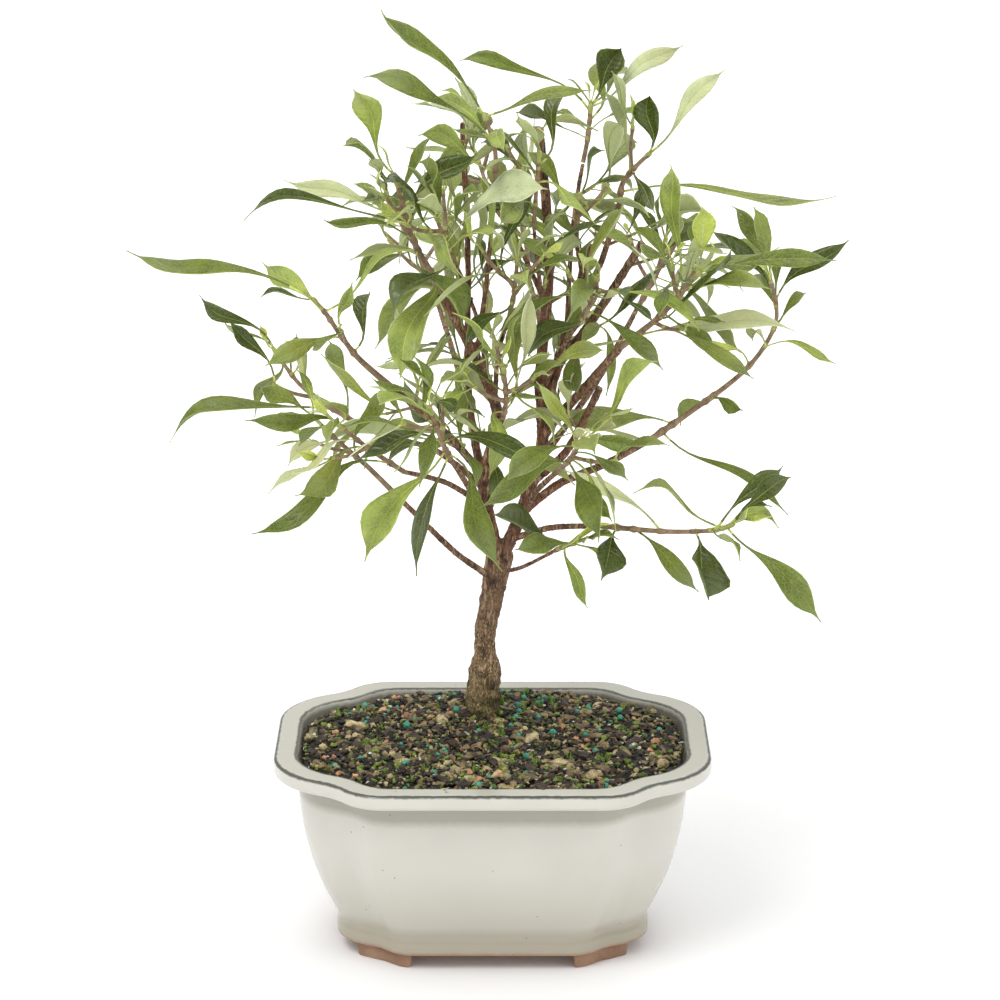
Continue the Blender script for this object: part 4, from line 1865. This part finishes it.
class Studio:
    """Floor, light and camera."""

    def build(self) -> None:
        """Makes the floor, the lights, the world and the camera."""
        shape = bmesh.new()
        bmesh.ops.create_grid(shape, x_segments=2, y_segments=2, size=8.0)
        mesh = bpy.data.meshes.new("floor")
        shape.to_mesh(mesh)
        shape.free()
        floor = bpy.data.objects.new("floor", mesh)
        bpy.context.scene.collection.objects.link(floor)
        material, work, shader = new_material("floor_paper", 0.95, Specular_IOR_Level=0.0,
                                              Emission_Strength=1.0)
        shader.inputs["Base Color"].default_value = (0.9, 0.9, 0.9, 1.0)
        away = work.add("ShaderNodeVectorMath", {0: work.add("ShaderNodeTexCoord").outputs["Object"]},
                        operation="LENGTH").outputs["Value"]
        work.tree.links.new(work.span(away, 0.16, 0.7, 0.02, 0.42), shader.inputs["Emission Color"])
        mesh.materials.append(material)
        world = bpy.data.worlds.new("studio")
        world.use_nodes = True
        sky = NodeWork(world.node_tree)
        heading = sky.add("ShaderNodeTexCoord").outputs["Generated"]
        rise = sky.add("ShaderNodeSeparateXYZ", {0: heading}).outputs["Z"]
        background = world.node_tree.nodes["Background"]
        background.inputs["Color"].default_value = (1.0, 1.0, 1.0, 1.0)
        world.node_tree.links.new(sky.span(rise, 0.0, 0.9, 0.42, 1.1), background.inputs["Strength"])
        bpy.context.scene.world = world
        bpy.context.scene.view_settings.view_transform = "Standard"
        self.lamp("key", (-0.7, -0.9, 1.7), 0.8, 15.0)
        self.lamp("fill", (1.2, -0.8, 0.8), 0.8, 3.5)
        self.lamp("back", (0.3, 1.2, 1.4), 0.9, 4.0)
        self.camera()

    @staticmethod
    def lamp(name: str, place: tuple, size: float, power: float) -> None:
        """An area light that looks at the plant."""
        light = bpy.data.lights.new(name, "AREA")
        light.energy = power
        light.size = size
        lamp = bpy.data.objects.new(name, light)
        lamp.location = place
        lamp.rotation_euler = (Vector((0.0, 0.0, 0.15)) - Vector(place)).to_track_quat("-Z", "Y").to_euler()
        bpy.context.scene.collection.objects.link(lamp)

    @staticmethod
    def camera() -> None:
        """The camera, at the photograph's viewing angle."""
        pitch = math.radians(17.2)
        distance = 1.3
        target = Vector((0.0028, -0.0055, 0.1762))
        lens = bpy.data.cameras.new("camera")
        lens.sensor_width = 36.0
        lens.lens = 125.676
        camera = bpy.data.objects.new("camera", lens)
        camera.location = target + Vector((0.0, -math.cos(pitch), math.sin(pitch))) * distance
        camera.rotation_euler = (math.pi / 2 - pitch, 0.0, 0.0)
        bpy.context.scene.collection.objects.link(camera)
        bpy.context.scene.camera = camera


def limb_lines() -> dict[str, tuple]:
    """For each limb its line and its radii, from its place on its parent."""
    trunk = smooth_route([Vector(point) for point in TRUNK.route], 1)
    lines = {"trunk": (trunk, list(TRUNK_RADII))}
    for limb in STEMS + BOUGHS:
        start = spot_on(lines[limb.parent][0], limb.share)[0]
        line = smooth_route([start, *(Vector(point) for point in limb.route)], 2)
        lines[limb.name] = (line, tapered(limb.foot, limb.tip, len(line)))
    return lines


CROWN_PARTS = (
    Foliage("leaves_left", ("foliage_left_high", "foliage_left_back", "foliage_left_front",
                            "foliage_left_low", "foliage_stem_left"), 41),
    Foliage("leaves_top", ("foliage_inner_left", "foliage_top_left", "foliage_top_right",
                           "foliage_right_high", "foliage_centre_top", "foliage_middle_right"), 42),
    Foliage("leaves_right", ("foliage_right", "foliage_right_far", "foliage_right_low",
                             "foliage_low"), 43),
    Foliage("leaves_front", ("foliage_front_right", "foliage_front_left", "foliage_inner_low",
                             "foliage_inner_right", "foliage_middle"), 44),
    Foliage("leaves_back", ("foliage_back_left", "foliage_back_right", "foliage_back",
                            "foliage_back_high"), 45),
)


def dress_crown(limbs: dict[str, tuple], mottle: bpy.types.ShaderNodeTree) -> None:
    """Grows the crown on the limbs and makes its leaves and twigs."""
    crown = Crown(limbs)
    crown.grow()
    finishes = {tint: finish.build(mottle) for tint, finish in LEAF_FINISHES.items()}
    stalk = EarthFinish("leaf_stalk", (STALK_COLOUR, tuple(value * 1.15 for value in STALK_COLOUR)),
                        roughness=0.5, relief=0.0001, grime=0.1).build(mottle)
    for part in CROWN_PARTS:
        piece = part.build(crown, finishes, stalk)
        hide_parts(*part.masses)
    spurs = Foliage("leaves_inner", (SPURS,), 46, SPUR_TINT_SHARES).build(crown, finishes, stalk)
    tan = EarthFinish("twig_tan", ((0.17, 0.105, 0.055), (0.38, 0.265, 0.15)), 300.0,
                      roughness=0.6).build(mottle)
    green = EarthFinish("twig_green", ((0.33, 0.33, 0.09), (0.45, 0.48, 0.15)), 300.0,
                        roughness=0.5, grime=0.15).build(mottle)
    Twigs().build(crown, tan, green)


def dress_pot(mottle: bpy.types.ShaderNodeTree) -> None:
    """Makes the pot, its feet and the soil."""
    pot = Pot()
    pot.build(GlazeFinish(), mottle)
    Feet().build(EarthFinish("clay", ((0.3, 0.175, 0.11), (0.42, 0.26, 0.17)), 90.0,
                             grime=0.2).build(mottle))
    grains = {kind: EarthFinish("soil_" + kind.value, spec.colours, 260.0,
                                roughness=0.4 if kind is Grain.BEAD else 0.6,
                                relief=0.0006, grime=0.6).build(mottle)
              for kind, spec in GRAINS.items()}
    root = EarthFinish("soil_root", ((0.3, 0.15, 0.07), (0.5, 0.3, 0.16)), 200.0).build(mottle)
    moss = EarthFinish("soil_sprig", ((0.1, 0.2, 0.02), (0.26, 0.44, 0.06)), 200.0).build(mottle)
    Soil().build(pot, grains, root, moss)


def main() -> None:
    """Builds the studio and every piece of the plant."""
    logging.basicConfig(level=logging.INFO, format="%(message)s")
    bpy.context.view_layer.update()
    Studio().build()
    mottle = mottle_group()
    limbs = limb_lines()
    dress_crown(limbs, mottle)
    bark = BarkFinish().build(mottle)
    cut_wood = EarthFinish("cut_wood", ((0.22, 0.14, 0.085), (0.42, 0.31, 0.2)), 500.0).build(mottle)
    Wood().build(limbs, bark, cut_wood)
    dress_pot(mottle)


if __name__ == "__main__":
    main()
